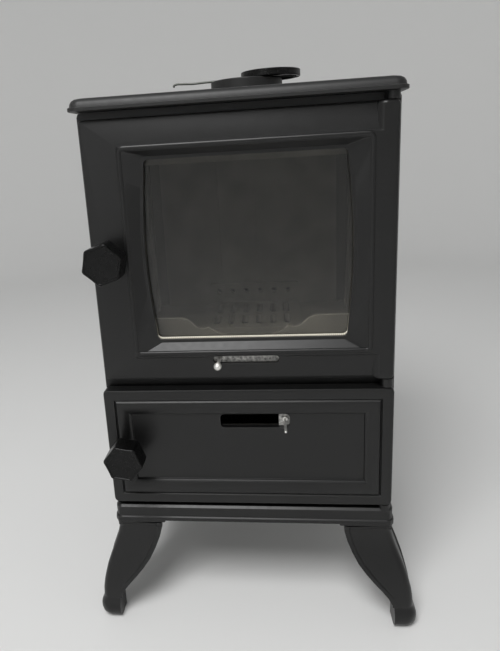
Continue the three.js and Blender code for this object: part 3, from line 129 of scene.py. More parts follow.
def painted_cast_iron(name, dark, light, dust, edge_highlight, rough, dust_share):
    """Satin stove paint sprayed on sand-cast iron: the mould's sandy grain shows through it, dust lies
    on what looks up, and a painted highlight makes edges a little paler, as if light caught them."""
    cloud_size, dust_size, skin_size, highlight_width = 90, 25, 7, 1.2
    # The sand is about 0.4 mm, too fine to show, so it is drawn at 1.1 mm
    sand_size, sand_deep = 1.1, 0.02
    settings = {"Metallic": 0.0, "IOR": 1.5, "Specular IOR Level": 0.4}
    material, tree, shader, coords = new_material(name, settings)
    links = {"Vector": coords, "Scale": scale_of(cloud_size), "Detail": 4.0, "Roughness": 0.6}
    clouds = add_node(tree, "ShaderNodeTexNoise", None, links).outputs["Fac"]
    stops = [(0.3, linear(dark)), (0.7, linear(light))]
    coat = add_node(tree, "ShaderNodeValToRGB", None, {"Fac": clouds}, stops).outputs["Color"]
    normal = add_node(tree, "ShaderNodeNewGeometry").outputs["Normal"]
    upward = add_node(tree, "ShaderNodeSeparateXYZ", None, {"Vector": normal}).outputs["Z"]
    stops = [(0.1, level(0.0)), (1.0, level(dust_share))]
    lying = add_node(tree, "ShaderNodeValToRGB", None, {"Fac": upward}, stops).outputs["Color"]
    links = {"Vector": coords, "Scale": scale_of(dust_size), "Detail": 5.0, "Roughness": 0.7}
    patches = add_node(tree, "ShaderNodeTexNoise", None, links).outputs["Fac"]
    share = add_node(tree, "ShaderNodeMath", {"operation": "MULTIPLY"}, {0: lying, 1: patches}).outputs[0]
    links = {0: share, 6: coat, 7: linear(dust)}
    dusty = add_node(tree, "ShaderNodeMix", {"data_type": "RGBA"}, links).outputs[2]
    # Painted highlight: within this width of an edge the paint is drawn paler, standing in for light on the
    # rounding
    links = {"Radius": highlight_width * MM}
    rounded = add_node(tree, "ShaderNodeBevel", {"samples": 3}, links).outputs["Normal"]
    bend = add_node(tree, "ShaderNodeVectorMath", {"operation": "DOT_PRODUCT"}, {0: rounded, 1: normal})
    stops = [(0.9, level(0.5)), (0.985, level(0.0))]
    edge = add_node(tree, "ShaderNodeValToRGB", None, {"Fac": bend.outputs["Value"]}, stops).outputs["Color"]
    links = {0: edge, 6: dusty, 7: linear(edge_highlight)}
    highlighted = add_node(tree, "ShaderNodeMix", {"data_type": "RGBA"}, links).outputs[2]
    tree.links.new(highlighted, shader.inputs["Base Color"])
    links = {"Vector": coords, "Scale": scale_of(sand_size), "Detail": 3.0}
    grain = add_node(tree, "ShaderNodeTexNoise", None, links).outputs["Fac"]
    links = {"Vector": coords, "Scale": scale_of(skin_size), "Detail": 3.0}
    skin = add_node(tree, "ShaderNodeTexNoise", None, links).outputs["Fac"]
    stops = [(0.3, level(rough - 0.02)), (0.7, level(rough + 0.03))]
    gloss = add_node(tree, "ShaderNodeValToRGB", None, {"Fac": skin}, stops).outputs["Color"]
    tree.links.new(gloss, shader.inputs["Roughness"])
    bump = add_node(tree, "ShaderNodeBump", None, {"Height": grain, "Distance": sand_deep * MM})
    tree.links.new(bump.outputs["Normal"], shader.inputs["Normal"])
    return material


def ashy_cast_iron(name, dark, light):
    """Bare cast iron that has been fired: dull, brownish grey, with a dry film of ash."""
    film_size, ash_size, ash_deep = 60, 1.6, 0.05
    material, tree, shader, coords = new_material(name, {"Metallic": 0.0, "IOR": 1.45})
    links = {"Vector": coords, "Scale": scale_of(film_size), "Detail": 4.0, "Roughness": 0.55}
    film = add_node(tree, "ShaderNodeTexNoise", None, links).outputs["Fac"]
    stops = [(0.3, linear(dark)), (0.7, linear(light))]
    coat = add_node(tree, "ShaderNodeValToRGB", None, {"Fac": film}, stops).outputs["Color"]
    tree.links.new(coat, shader.inputs["Base Color"])
    links = {"Vector": coords, "Scale": scale_of(ash_size), "Detail": 3.0}
    grain = add_node(tree, "ShaderNodeTexNoise", None, links).outputs["Fac"]
    stops = [(0.2, level(0.74)), (0.8, level(0.9))]
    gloss = add_node(tree, "ShaderNodeValToRGB", None, {"Fac": grain}, stops).outputs["Color"]
    tree.links.new(gloss, shader.inputs["Roughness"])
    bump = add_node(tree, "ShaderNodeBump", None, {"Height": grain, "Distance": ash_deep * MM})
    tree.links.new(bump.outputs["Normal"], shader.inputs["Normal"])
    return material


def black_enamel(name, dark, light, rough):
    """Black enamel baked on smooth castings: a satin skin on which the iron's grain barely shows."""
    cloud_size, grain_size, grain_deep = 18, 1.6, 0.02
    settings = {"Metallic": 0.0, "IOR": 1.5, "Specular IOR Level": 0.22}
    material, tree, shader, coords = new_material(name, settings)
    links = {"Vector": coords, "Scale": scale_of(cloud_size), "Detail": 3.0}
    clouds = add_node(tree, "ShaderNodeTexNoise", None, links).outputs["Fac"]
    stops = [(0.3, linear(dark)), (0.8, linear(light))]
    coat = add_node(tree, "ShaderNodeValToRGB", None, {"Fac": clouds}, stops).outputs["Color"]
    tree.links.new(coat, shader.inputs["Base Color"])
    links = {"Vector": coords, "Scale": scale_of(grain_size), "Detail": 2.0}
    fine = add_node(tree, "ShaderNodeTexNoise", None, links).outputs["Fac"]
    stops = [(0.3, level(rough - 0.05)), (0.7, level(rough + 0.05))]
    gloss = add_node(tree, "ShaderNodeValToRGB", None, {"Fac": fine}, stops).outputs["Color"]
    tree.links.new(gloss, shader.inputs["Roughness"])
    bump = add_node(tree, "ShaderNodeBump", None, {"Height": fine, "Distance": grain_deep * MM})
    tree.links.new(bump.outputs["Normal"], shader.inputs["Normal"])
    return material


def wiped_steel(name, dark, light, rough):
    """Turned and drawn steel, wiped clean: fine marks run round or along it, too fine to show, so
    they are drawn 0.7 mm apart."""
    mark_size = 0.7
    stretch = (0.15, 1.0, 0.15)
    material, tree, shader, coords = new_material(name, {"Metallic": 1.0})
    drawn = add_node(tree, "ShaderNodeMapping", None, {"Vector": coords, "Scale": stretch})
    links = {"Vector": drawn.outputs["Vector"], "Scale": scale_of(mark_size), "Detail": 3.0}
    marks = add_node(tree, "ShaderNodeTexNoise", None, links).outputs["Fac"]
    stops = [(0.3, linear(dark)), (0.8, linear(light))]
    tone = add_node(tree, "ShaderNodeValToRGB", None, {"Fac": marks}, stops).outputs["Color"]
    tree.links.new(tone, shader.inputs["Base Color"])
    stops = [(0.2, level(rough - 0.06)), (0.8, level(rough + 0.1))]
    gloss = add_node(tree, "ShaderNodeValToRGB", None, {"Fac": marks}, stops).outputs["Color"]
    tree.links.new(gloss, shader.inputs["Roughness"])
    return material


def zinc_plated_sheet(name, dark, middle, pale):
    """Sheet steel with old zinc plating: dull grey crystals about 4 mm wide with pale and dark spots."""
    crystal_size, spot_size, spot_deep = 4, 2.2, 0.05
    material, tree, shader, coords = new_material(name, {"Metallic": 0.35})
    links = {"Vector": coords, "Scale": scale_of(crystal_size)}
    crystals = add_node(tree, "ShaderNodeTexVoronoi", None, links)
    links = {"Vector": coords, "Scale": scale_of(spot_size), "Detail": 6.0, "Roughness": 0.75}
    speckle = add_node(tree, "ShaderNodeTexNoise", None, links).outputs["Fac"]
    links = {0: 0.65, 6: crystals.outputs["Distance"], 7: speckle}
    blend = add_node(tree, "ShaderNodeMix", {"data_type": "RGBA"}, links).outputs[2]
    stops = [(0.34, linear(dark)), (0.5, linear(middle)), (0.64, linear(pale))]
    tone = add_node(tree, "ShaderNodeValToRGB", None, {"Fac": blend}, stops).outputs["Color"]
    tree.links.new(tone, shader.inputs["Base Color"])
    stops = [(0.3, level(0.42)), (0.7, level(0.65))]
    gloss = add_node(tree, "ShaderNodeValToRGB", None, {"Fac": speckle}, stops).outputs["Color"]
    tree.links.new(gloss, shader.inputs["Roughness"])
    bump = add_node(tree, "ShaderNodeBump", None, {"Height": speckle, "Distance": spot_deep * MM})
    tree.links.new(bump.outputs["Normal"], shader.inputs["Normal"])
    return material


def oxidised_steel(name, dark, light):
    """Steel with a thin black oxide that handling has worn paler in patches."""
    patch_size, patch_deep = 8, 0.03
    material, tree, shader, coords = new_material(name, {"Metallic": 0.7})
    links = {"Vector": coords, "Scale": scale_of(patch_size), "Detail": 5.0, "Roughness": 0.6}
    patches = add_node(tree, "ShaderNodeTexNoise", None, links).outputs["Fac"]
    stops = [(0.3, linear(dark)), (0.75, linear(light))]
    tone = add_node(tree, "ShaderNodeValToRGB", None, {"Fac": patches}, stops).outputs["Color"]
    tree.links.new(tone, shader.inputs["Base Color"])
    stops = [(0.3, level(0.42)), (0.7, level(0.6))]
    gloss = add_node(tree, "ShaderNodeValToRGB", None, {"Fac": patches}, stops).outputs["Color"]
    tree.links.new(gloss, shader.inputs["Roughness"])
    bump = add_node(tree, "ShaderNodeBump", None, {"Height": patches, "Distance": patch_deep * MM})
    tree.links.new(bump.outputs["Normal"], shader.inputs["Normal"])
    return material


def knitted_rope(name, dark, light):
    """Knitted glass-fibre rope: slanting stitches on a soft, dull, fluffy surface. The stitches are about
    2 mm apart, drawn twice as coarse so that they show."""
    # A wave's slanting bands lie about a third of its size apart
    wave_size, fluff_size, knit_deep = 12, 1, 0.5
    material, tree, shader, coords = new_material(name, {"IOR": 1.4, "Roughness": 0.95})
    links = {"Vector": coords, "Scale": scale_of(wave_size), "Distortion": 2.0, "Detail": 2.0}
    stitch = add_node(tree, "ShaderNodeTexWave", {"bands_direction": "DIAGONAL"}, links).outputs["Fac"]
    links = {"Vector": coords, "Scale": scale_of(fluff_size)}
    fluff = add_node(tree, "ShaderNodeTexNoise", None, links).outputs["Fac"]
    knit = add_node(tree, "ShaderNodeMix", {"data_type": "RGBA"}, {0: 0.35, 6: stitch, 7: fluff}).outputs[2]
    stops = [(0.2, linear(dark)), (0.8, linear(light))]
    tone = add_node(tree, "ShaderNodeValToRGB", None, {"Fac": knit}, stops).outputs["Color"]
    tree.links.new(tone, shader.inputs["Base Color"])
    bump = add_node(tree, "ShaderNodeBump", None, {"Height": knit, "Distance": knit_deep * MM})
    tree.links.new(bump.outputs["Normal"], shader.inputs["Normal"])
    return material


def woven_tape(name, dark, light, soot):
    """White woven glass tape, still clean below the pane and sooty up its sides. Its threads are 0.5 mm
    apart, drawn 2.4 mm apart so that they show."""
    # Heights above the floor in metres, between which the soot sets in
    clean, sooty = 0.385, 0.41
    # A wave's upright bands lie a little under a third of its size apart
    wave_size, thread_deep = 7.5, 0.1
    material, tree, shader, coords = new_material(name, {"IOR": 1.45, "Roughness": 0.85})
    links = {"Vector": coords, "Scale": scale_of(wave_size)}
    threads = add_node(tree, "ShaderNodeTexWave", {"bands_direction": "X"}, links).outputs["Fac"]
    stops = [(0.2, linear(dark)), (0.8, linear(light))]
    tone = add_node(tree, "ShaderNodeValToRGB", None, {"Fac": threads}, stops).outputs["Color"]
    height = add_node(tree, "ShaderNodeSeparateXYZ", None, {"Vector": coords}).outputs["Z"]
    stops = [(clean, level(0.0)), (sooty, level(1.0))]
    share = add_node(tree, "ShaderNodeValToRGB", None, {"Fac": height}, stops).outputs["Color"]
    links = {0: share, 6: tone, 7: linear(soot)}
    sooted = add_node(tree, "ShaderNodeMix", {"data_type": "RGBA"}, links).outputs[2]
    tree.links.new(sooted, shader.inputs["Base Color"])
    bump = add_node(tree, "ShaderNodeBump", None, {"Height": threads, "Distance": thread_deep * MM})
    tree.links.new(bump.outputs["Normal"], shader.inputs["Normal"])
    return material


def ceramic_glass(name, tint):
    """Polished ceramic glass: clear, with a faint warm tint, and light passes through to the fire room."""
    settings = {"Base Color": linear(tint), "Roughness": 0.0, "IOR": 1.42, "Transmission Weight": 1.0}
    material, tree, shader, _ = new_material(name, settings)
    shadow = add_node(tree, "ShaderNodeLightPath").outputs["Is Shadow Ray"]
    clear = add_node(tree, "ShaderNodeBsdfTransparent", None, {"Color": linear(tint)}).outputs["BSDF"]
    both = add_node(tree, "ShaderNodeMixShader", None, {0: shadow, 1: shader.outputs["BSDF"], 2: clear})
    output = next(node for node in tree.nodes if node.type == "OUTPUT_MATERIAL")
    tree.links.new(both.outputs["Shader"], output.inputs["Surface"])
    return material


# The finishes, one for each slot, and three for pieces that look different from the rest of their slot

# In the two stove paints the fourth colour is the painted highlight along edges
FINISHES = {
    "cast_paint": painted_cast_iron("stove_paint_on_cast_iron", "#0e0e0e", "#121212", "#262626", "#383838",
                                    rough=0.36, dust_share=0.15),
    "top_paint": painted_cast_iron("dusty_stove_paint", "#191919", "#202020", "#3a3a3a", "#3f3f3f",
                                   rough=0.46, dust_share=0.5),
    "knob_paint": black_enamel("black_enamel", "#060606", "#0c0c0c", rough=0.3),
    "raw_cast": ashy_cast_iron("ashy_cast_iron", "#494846", "#666460"),
    "bright_steel": wiped_steel("wiped_steel", "#b3b0aa", "#dcdad5", rough=0.28),
    "zinc_sheet": zinc_plated_sheet("zinc_plated_sheet", "#6c6c6a", "#a3a29f", "#d0cfcb"),
    "dark_steel": oxidised_steel("black_oxide_steel", "#242322", "#3a3937"),
    "seal_rope": knitted_rope("knitted_glass_rope", "#2b2b2d", "#626366"),
    "glass_tape": woven_tape("woven_glass_tape", "#cfc9b8", "#f0ecdf", "#55534f"),
    "glass": ceramic_glass("ceramic_glass", "#dedcd6"),
}
PAN_SHEET = oxidised_steel("hot_rolled_sheet_steel", "#2e2d2b", "#4a4845")
DULL_WIRE = wiped_steel("dull_drawn_wire", "#5c5f5a", "#777974", rough=0.5)
SATIN_STEEL = wiped_steel("satin_nickelled_steel", "#dbdad6", "#f4f3ef", rough=0.5)

# Making a piece


def finish_piece(builder, node, ending, material=None, smooth=35):
    """The bmesh as an object that stands for one CAD node and rides on its body. Edges that bend by
    more than smooth, in degrees, stay sharp."""
    mesh = bpy.data.meshes.new(node + ending)
    builder.to_mesh(mesh)
    builder.free()
    slot = SLOT_OF[node]
    mesh.materials.append(material or FINISHES[slot])
    mesh.shade_smooth()
    mesh.set_sharp_from_angle(angle=math.radians(smooth))
    piece = bpy.data.objects.new(node + ending, mesh)
    bpy.context.scene.collection.objects.link(piece)
    flats = piece.modifiers.new("flats", "WEIGHTED_NORMAL")
    flats.keep_sharp = True
    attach(piece, BODY_OF[node])
    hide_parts(node)


def merged_copy(node):
    """A CAD piece's mesh with its triangles joined into flat faces."""
    builder = bmesh.new()
    builder.from_mesh(frame["nodes"][node].data)
    bmesh.ops.remove_doubles(builder, verts=builder.verts, dist=0.002 * MM)
    bmesh.ops.dissolve_limit(builder, angle_limit=math.radians(0.5), verts=builder.verts, edges=builder.edges)
    return builder


def round_edges(builder, width_mm, angle=28, segments=3):
    """Every edge that bends by more than the angle, in degrees, rounded to this width."""
    sharp = [e for e in builder.edges if e.is_manifold and e.calc_face_angle(0.0) > math.radians(angle)]
    bmesh.ops.bevel(builder, geom=sharp, offset=width_mm * MM, offset_type="OFFSET", affect="EDGES",
                    segments=segments, profile=0.5, clamp_overlap=True, material=-1)


def soften(node, width_mm, material=None):
    """A CAD piece with its sharp edges rounded, as a casting's or a pressing's are."""
    builder = merged_copy(node)
    round_edges(builder, width_mm)
    finish_piece(builder, node, "_soft", material)


def arc(x, y, radius, start, end, steps=6):
    """Points on a round corner, its angles in degrees."""
    angles = [math.radians(start + (end - start) * i / steps) for i in range(steps + 1)]
    return [(x + radius * math.cos(a), y + radius * math.sin(a)) for a in angles]


def turned(profile, place, forward=False, steps=72):
    """A profile of radius and height in millimetres, turned about an upright line or one that points
    forward. A profile that starts off the axis is a ring's section and is closed."""
    builder = bmesh.new()
    verts = [builder.verts.new((radius * MM, 0, height * MM)) for radius, height in profile]
    edges = [builder.edges.new(pair) for pair in zip(verts, verts[1:])]
    if profile[0][0] > 0:
        edges.append(builder.edges.new((verts[-1], verts[0])))
    bmesh.ops.spin(builder, geom=verts + edges, cent=(0, 0, 0), axis=(0, 0, 1), dvec=(0, 0, 0),
                   angle=math.tau, steps=steps, use_merge=True)
    bmesh.ops.remove_doubles(builder, verts=builder.verts, dist=0.0005 * MM)
    turn = Matrix.Rotation(math.pi / 2, 4, "X") if forward else Matrix()
    bmesh.ops.transform(builder, matrix=Matrix.Translation(place) @ turn, verts=builder.verts)
    bmesh.ops.recalc_face_normals(builder, faces=builder.faces)
    return builder


def next_ring(builder, ring):
    """The edges of a ring drawn out into a new ring, which still lies on the old one."""
    grown = bmesh.ops.extrude_edge_only(builder, edges=ring)["geom"]
    verts = [v for v in grown if isinstance(v, bmesh.types.BMVert)]
    edges = [e for e in grown if isinstance(e, bmesh.types.BMEdge) and e.is_boundary]
    return verts, edges


# Castings, plates, strips and bolts: the CAD shape with its edges rounded, by this many millimetres

CORNERS = ("front_left", "front_right", "rear_left", "rear_right")
BOLT_ROUND = 0.5
PAN_ROUND = 0.3
EDGE_ROUNDS = {
    "upper_door": 1.6, "lower_door": 1.6, "front_frame": 0.8, "base": 1.4, "left_side": 1.0,
    "right_side": 1.0, "back_plate": 1.0, "top_plate": 1.0, "fire_grate": 0.8, "log_guard": 1.2,
    "shelf": 0.8, "liner_back": 0.9, "liner_left": 1.0, "liner_right": 1.0, "baffle": 1.0,
    "window_glass": 0.5, "upper_air_slide": 0.3, "lower_air_slide": 0.3, "upper_slide_guide": 0.3,
    "lower_slide_guide": 0.3, "glass_strip_bottom": 0.3, "glass_strip_top": 0.3, "upper_tongue": 0.5,
    "lower_tongue": 0.5, "upper_spindle": 0.3, "lower_spindle": 0.3, "window_tape": 0.4,
}
for node, width in EDGE_ROUNDS.items():
    soften(node, width)
for corner in CORNERS:
    soften("leg_bolt_" + corner, BOLT_ROUND)
    soften("tie_rod_" + corner, BOLT_ROUND)
soften("ash_pan", PAN_ROUND, material=PAN_SHEET)

# Turned pieces


def foot_of(node):
    """The middle of a node's lower face, where an upright turned piece starts."""
    low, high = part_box(node)
    return Vector(((low.x + high.x) / 2, (low.y + high.y) / 2, low.z))


def back_of(node):
    """The middle of a node's rear face, where a turned piece that points forward starts."""
    low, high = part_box(node)
    return Vector(((low.x + high.x) / 2, high.y, (low.z + high.z) / 2))


def size_of(node):
    """A node's width, depth and height in millimetres."""
    low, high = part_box(node)
    return (high - low) / MM


def make_collar():
    """The flue collar: a flange, a filleted neck and a rounded rim."""
    outer, wall, spigot, flange, fillet, edge = 50, 4.5, 5, 6, 4, 1.4
    reach = size_of("flue_collar").x / 2
    top = size_of("flue_collar").z
    inner = outer - wall
    floor = spigot + flange
    profile = [(inner - wall, 0), (inner, 0), (inner, spigot), (reach, spigot)]
    profile += arc(reach - edge, floor - edge, edge, 0, 90)
    profile += arc(outer + fillet, floor + fillet, fillet, 270, 180)
    profile += arc(outer - edge, top - edge, edge, 0, 90)
    profile += arc(inner + edge, top - edge, edge, 90, 180)
    profile += [(inner, floor), (inner - wall, floor - wall)]
    finish_piece(turned(profile, foot_of("flue_collar"), steps=120), "flue_collar", "_turned")


def make_damper_plate():
    """The damper: a thin web in a rim, with a notch each side where the wire passes under."""
    radius = size_of("damper_plate").x / 2
    thick = size_of("damper_plate").z
    rim, dish, hollow, edge = 5, 2.5, 3.6, 0.9
    notch_reach, notch_high = 2.2, 1.2
    inner = radius - rim
    profile = [(0, hollow), (inner - edge, hollow)]
    profile += arc(inner + edge, edge, edge, 180, 270, 4)
    profile += arc(radius - edge, edge, edge, 270, 360, 4)
    profile += arc(radius - edge, thick - edge, edge, 0, 90, 4)
    profile += arc(inner + edge, thick - edge, edge, 90, 180, 4)
    profile += [(inner - edge, thick - dish), (0, thick - dish)]
    place = foot_of("damper_plate")
    wire = foot_of("damper_rod")
    builder = turned(profile, place, steps=120)
    low_rim = [v for v in builder.verts if v.co.z < place.z + notch_high * MM]
    notch = [v for v in low_rim if abs(v.co.y - wire.y) < notch_reach * MM]
    bmesh.ops.translate(builder, verts=notch, vec=(0, 0, hollow * MM))
    finish_piece(builder, "damper_plate", "_turned")


def make_hinge_pin(node):
    """A plain round pin, bevelled at both ends."""
    radius = size_of(node).x / 2
    long = size_of(node).z
    edge = 1
    profile = [(0, 0), (radius - edge, 0), (radius, edge)]
    profile += [(radius, long - edge), (radius - edge, long), (0, long)]
    finish_piece(turned(profile, foot_of(node), steps=32), node, "_turned")


def make_collar_screw(node):
    """A button-head screw with a dimple for its key."""
    long = size_of(node).z
    shank, head, head_high, dimple, deep, edge = 3, 5, 4, 1.8, 1.6, 0.4
    seat = long - head_high
    profile = [(0, 0), (shank, 0), (shank, seat), (head - edge, seat), (head, seat + edge)]
    profile += [(4.8, seat + 1.6), (4.2, seat + 2.8), (3.2, seat + 3.7), (dimple + edge, long)]
    profile += [(dimple, long - 0.3), (dimple, long - deep), (0, long - deep)]
    finish_piece(turned(profile, foot_of(node), steps=32), node, "_turned")


def make_glass_screw(node):
    """A pan-head screw with a dimple for its driver, its head at the back of the door."""
    long = size_of(node).y
    head, head_high, shank, dimple, deep = 3.6, 1.6, 2, 1.1, 0.8
    profile = [(0, deep), (dimple, deep), (dimple, 0.15), (1.3, 0), (2.2, 0.1), (3, 0.5), (head, 1.2)]
    profile += [(head, head_high), (shank, head_high), (shank, long), (0, long)]
    finish_piece(turned(profile, back_of(node), forward=True, steps=24), node, "_turned")


def make_ball_pin():
    """The upper slide's pin: a riveted back, a plain shank and a ball."""
    ball = size_of("upper_slide_pin").x / 2
    long = size_of("upper_slide_pin").y
    shank, head, head_thick, edge = 2, 3.5, 1.2, 0.4
    neck = -math.degrees(math.acos(shank / ball))
    profile = [(0, 0), (head - edge, 0), (head, edge), (head, head_thick), (shank, head_thick)]
    profile += arc(0, long - ball, ball, neck, 90, 24)
    builder = turned(profile, back_of("upper_slide_pin"), forward=True, steps=48)
    finish_piece(builder, "upper_slide_pin", "_turned", SATIN_STEEL)


def make_plain_pin():
    """The lower slide's pin: a riveted back, a collar at the plate and a thin round-ended shank."""
    long = size_of("lower_slide_pin").y
    shank, head, head_thick, edge = 1.6, 3.5, 1.2, 0.4
    collar, seat, collar_thick = 3.3, 3.8, 2.5
    front = seat + collar_thick
    profile = [(0, 0), (head - edge, 0), (head, edge), (head, head_thick), (shank, head_thick)]
    profile += [(shank, seat), (collar - edge, seat), (collar, seat + edge)]
    profile += [(collar, front - edge), (collar - edge, front), (shank, front)]
    profile += arc(0, long - shank, shank, 0, 90, 8)
    builder = turned(profile, back_of("lower_slide_pin"), forward=True, steps=40)
    finish_piece(builder, "lower_slide_pin", "_turned", SATIN_STEEL)


make_collar()
make_damper_plate()
for end in ("top", "middle", "bottom"):
    make_hinge_pin("hinge_pin_" + end)
for number in (1, 2, 3):
    make_collar_screw(f"collar_screw_{number}")
for end in ("bottom_left", "bottom_right", "top_left", "top_right"):
    make_glass_screw("glass_screw_" + end)
make_ball_pin()
make_plain_pin()

# Legs, in millimetres from the floor and from the inner corner of the foot

ANKLE = 28.5
FOOT_REACH = 29.6
FOOT_INSET = 0.5
LEG_ROUND = 0.9
# The pad foot from its sole up: height, how far it reaches out, and how round its outer corner is
FOOT_RINGS = [(0, 18.5, 11), (0.8, 21.5, 12.5), (2.2, 24.2, 14), (4.5, 26.9, 15), (8, 28.9, 15.6),
              (12.5, FOOT_REACH, 15.6), (17, 29.4, 15), (20.5, 28.5, 13.6), (23.5, 27, 12),
              (26, 25.5, 10.5), (ANKLE, 24.7, 9.4), (31, 24.2, 9)]


def foot_outlines(node):
    """The corners of each ring of a leg's foot, from the sole up."""
    low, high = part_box(node)
    side_x = 1 if low.x + high.x > 0 else -1
    side_y = 1 if "rear" in node else -1
    corner_x = (high.x if side_x > 0 else low.x) - side_x * FOOT_REACH * MM
    corner_y = (high.y if side_y > 0 else low.y) - side_y * FOOT_REACH * MM
    outlines = []
    for up, out, rounded in FOOT_RINGS:
        outer_corner = arc(out - rounded, out - rounded, rounded, 0, 90, 12)
        outline = [(FOOT_INSET, FOOT_INSET), (out, FOOT_INSET)] + outer_corner + [(FOOT_INSET, out)]
        outlines.append([Vector((corner_x + side_x * x * MM, corner_y + side_y * y * MM, up * MM))
                         for x, y in outline])
    return outlines


def make_leg(node):
    """A cabriole leg: the casting's own shank down to its ankle, and below it a rounded pad foot."""
    builder = merged_copy(node)
    whole = builder.verts[:] + builder.edges[:] + builder.faces[:]
    cut = bmesh.ops.bisect_plane(builder, geom=whole, plane_co=(0, 0, ANKLE * MM), plane_no=(0, 0, 1),
                                 clear_inner=True)["geom_cut"]
    bmesh.ops.edgeloop_fill(builder, edges=[e for e in cut if isinstance(e, bmesh.types.BMEdge)])
    shank_faces = set(builder.faces)
    outlines = foot_outlines(node)
    verts = [builder.verts.new(place) for place in outlines[0]]
    sole = ring = [builder.edges.new(pair) for pair in zip(verts, verts[1:] + verts[:1])]
    for below, places in zip(outlines, outlines[1:]):
        verts, ring = next_ring(builder, ring)
        # Each new corner lies on the ring below, so the nearest corner there says which one it is
        for vert in verts:
            number = min(range(len(below)), key=lambda i: (vert.co - below[i]).length)
            vert.co = places[number]
    bmesh.ops.edgeloop_fill(builder, edges=sole)
    bmesh.ops.edgeloop_fill(builder, edges=ring)
    foot_faces = [face for face in builder.faces if face not in shank_faces]
    bmesh.ops.recalc_face_normals(builder, faces=foot_faces)
    round_edges(builder, LEG_ROUND)
    finish_piece(builder, node, "_cast")


for corner in CORNERS:
    make_leg("leg_" + corner)

# Damper wire, knobs, seals and the window's ridge


def make_damper_rod():
    """The wire: a short hook at its left end, a slight wave left by hand, then straight under the plate."""
    low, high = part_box("damper_rod")
    radius = 1.5
    long = size_of("damper_rod").x
    top = size_of("damper_rod").z - radius
    # How far along the wire from its hooked end, and how high
    points = [(1.5, 0.6), (1.9, top - 1.6), (4.4, top - 0.3), (14, top - 0.1), (29, top - 0.8),
              (46, top - 0.2), (60, top), (long / 2, top), (long, top)]
    data = bpy.data.curves.new("wire", "CURVE")
    data.dimensions = "3D"
    data.bevel_depth = radius * MM
    data.bevel_resolution = 5
    data.resolution_u = 8
    data.use_fill_caps = True
    spline = data.splines.new("BEZIER")
    spline.bezier_points.add(len(points) - 1)
    for point, (along, up) in zip(spline.bezier_points, points):
        point.co = (low.x + along * MM, (low.y + high.y) / 2, low.z + up * MM)
        point.handle_left_type = point.handle_right_type = "AUTO"
    wire = bpy.data.objects.new("wire", data)
    mesh = bpy.data.meshes.new_from_object(wire)
    builder = bmesh.new()
    builder.from_mesh(mesh)
    bpy.data.objects.remove(wire)
    bpy.data.meshes.remove(mesh)
    bmesh.ops.remove_doubles(builder, verts=builder.verts, dist=0.0005 * MM)
    bmesh.ops.recalc_face_normals(builder, faces=builder.faces)
    finish_piece(builder, "damper_rod", "_bent", DULL_WIRE)


def make_knob(node, turn_degrees):
    """A hexagonal knob: sides drawn in a little, a raised bead round its flat face, a round neck."""
    corner, corner_round, drawn_in, thick = 25, 2.6, 0.5, 27
    neck, fillet, socket, socket_radius = 10, 1.2, 16, 5.35
    total = size_of(node).y
    rear = total - thick
    builder = bmesh.new()
    bmesh.ops.create_circle(builder, segments=6, radius=corner * MM, cap_ends=True)
    bmesh.ops.bevel(builder, geom=builder.verts[:], offset=corner_round * MM, offset_type="OFFSET",
                    affect="VERTICES", segments=4, profile=0.5, clamp_overlap=True, material=-1)
    sides = [e for e in builder.edges if e.calc_length() > corner / 2 * MM]
    bmesh.ops.subdivide_edges(builder, edges=sides, cuts=6)
    bmesh.ops.delete(builder, geom=builder.faces[:], context="FACES_ONLY")
    flat = corner * math.cos(math.pi / 6) * MM
    for vert in builder.verts:
        share = max(0.0, 1 - (vert.co.length - flat) / (corner * MM - flat))
        vert.co *= 1 - drawn_in * MM * share / vert.co.length
    # Rings from the back edge to the front face: how high, and how far inside the outline
    rings = [(rear, 2.6), (rear + 0.8, 0.9), (rear + 2.6, 0), (total - 1.8, 0), (total - 0.9, 0.25),
             (total - 0.25, 0.85), (total, 1.6), (total, 2.3), (total - 0.3, 3), (total - 0.9, 3.4)]
    back = ring = builder.edges[:]
    verts = builder.verts[:]
    scaled, height = 1.0, 0.0
    for i, (up, inward) in enumerate(rings):
        if i > 0:
            verts, ring = next_ring(builder, ring)
        wanted = 1 - inward / corner
        bmesh.ops.scale(builder, verts=verts, vec=(wanted / scaled, wanted / scaled, 1))
        bmesh.ops.translate(builder, verts=verts, vec=(0, 0, (up - height) * MM))
        scaled, height = wanted, up
    bmesh.ops.edgeloop_fill(builder, edges=ring)
    # From the back edge in to the neck, down it, and up into the socket for the spindle
    ring = back
    for radius, up in ((neck + fillet, rear), (neck + 0.3, rear - 0.4), (neck, rear - fillet), (neck, 0.6),
                       (neck - 0.5, 0), (socket_radius, 0), (socket_radius, rear + socket)):
        verts, ring = next_ring(builder, ring)
        for vert in verts:
            around = Vector((vert.co.x, vert.co.y)).normalized() * radius * MM
            vert.co = (around.x, around.y, up * MM)
    bmesh.ops.edgeloop_fill(builder, edges=ring)
    spun = Matrix.Rotation(math.radians(turn_degrees - 90), 4, "Z")
    place = Matrix.Translation(back_of(node)) @ Matrix.Rotation(math.pi / 2, 4, "X")
    bmesh.ops.transform(builder, matrix=place @ spun, verts=builder.verts)
    bmesh.ops.recalc_face_normals(builder, faces=builder.faces)
    finish_piece(builder, node, "_moulded")


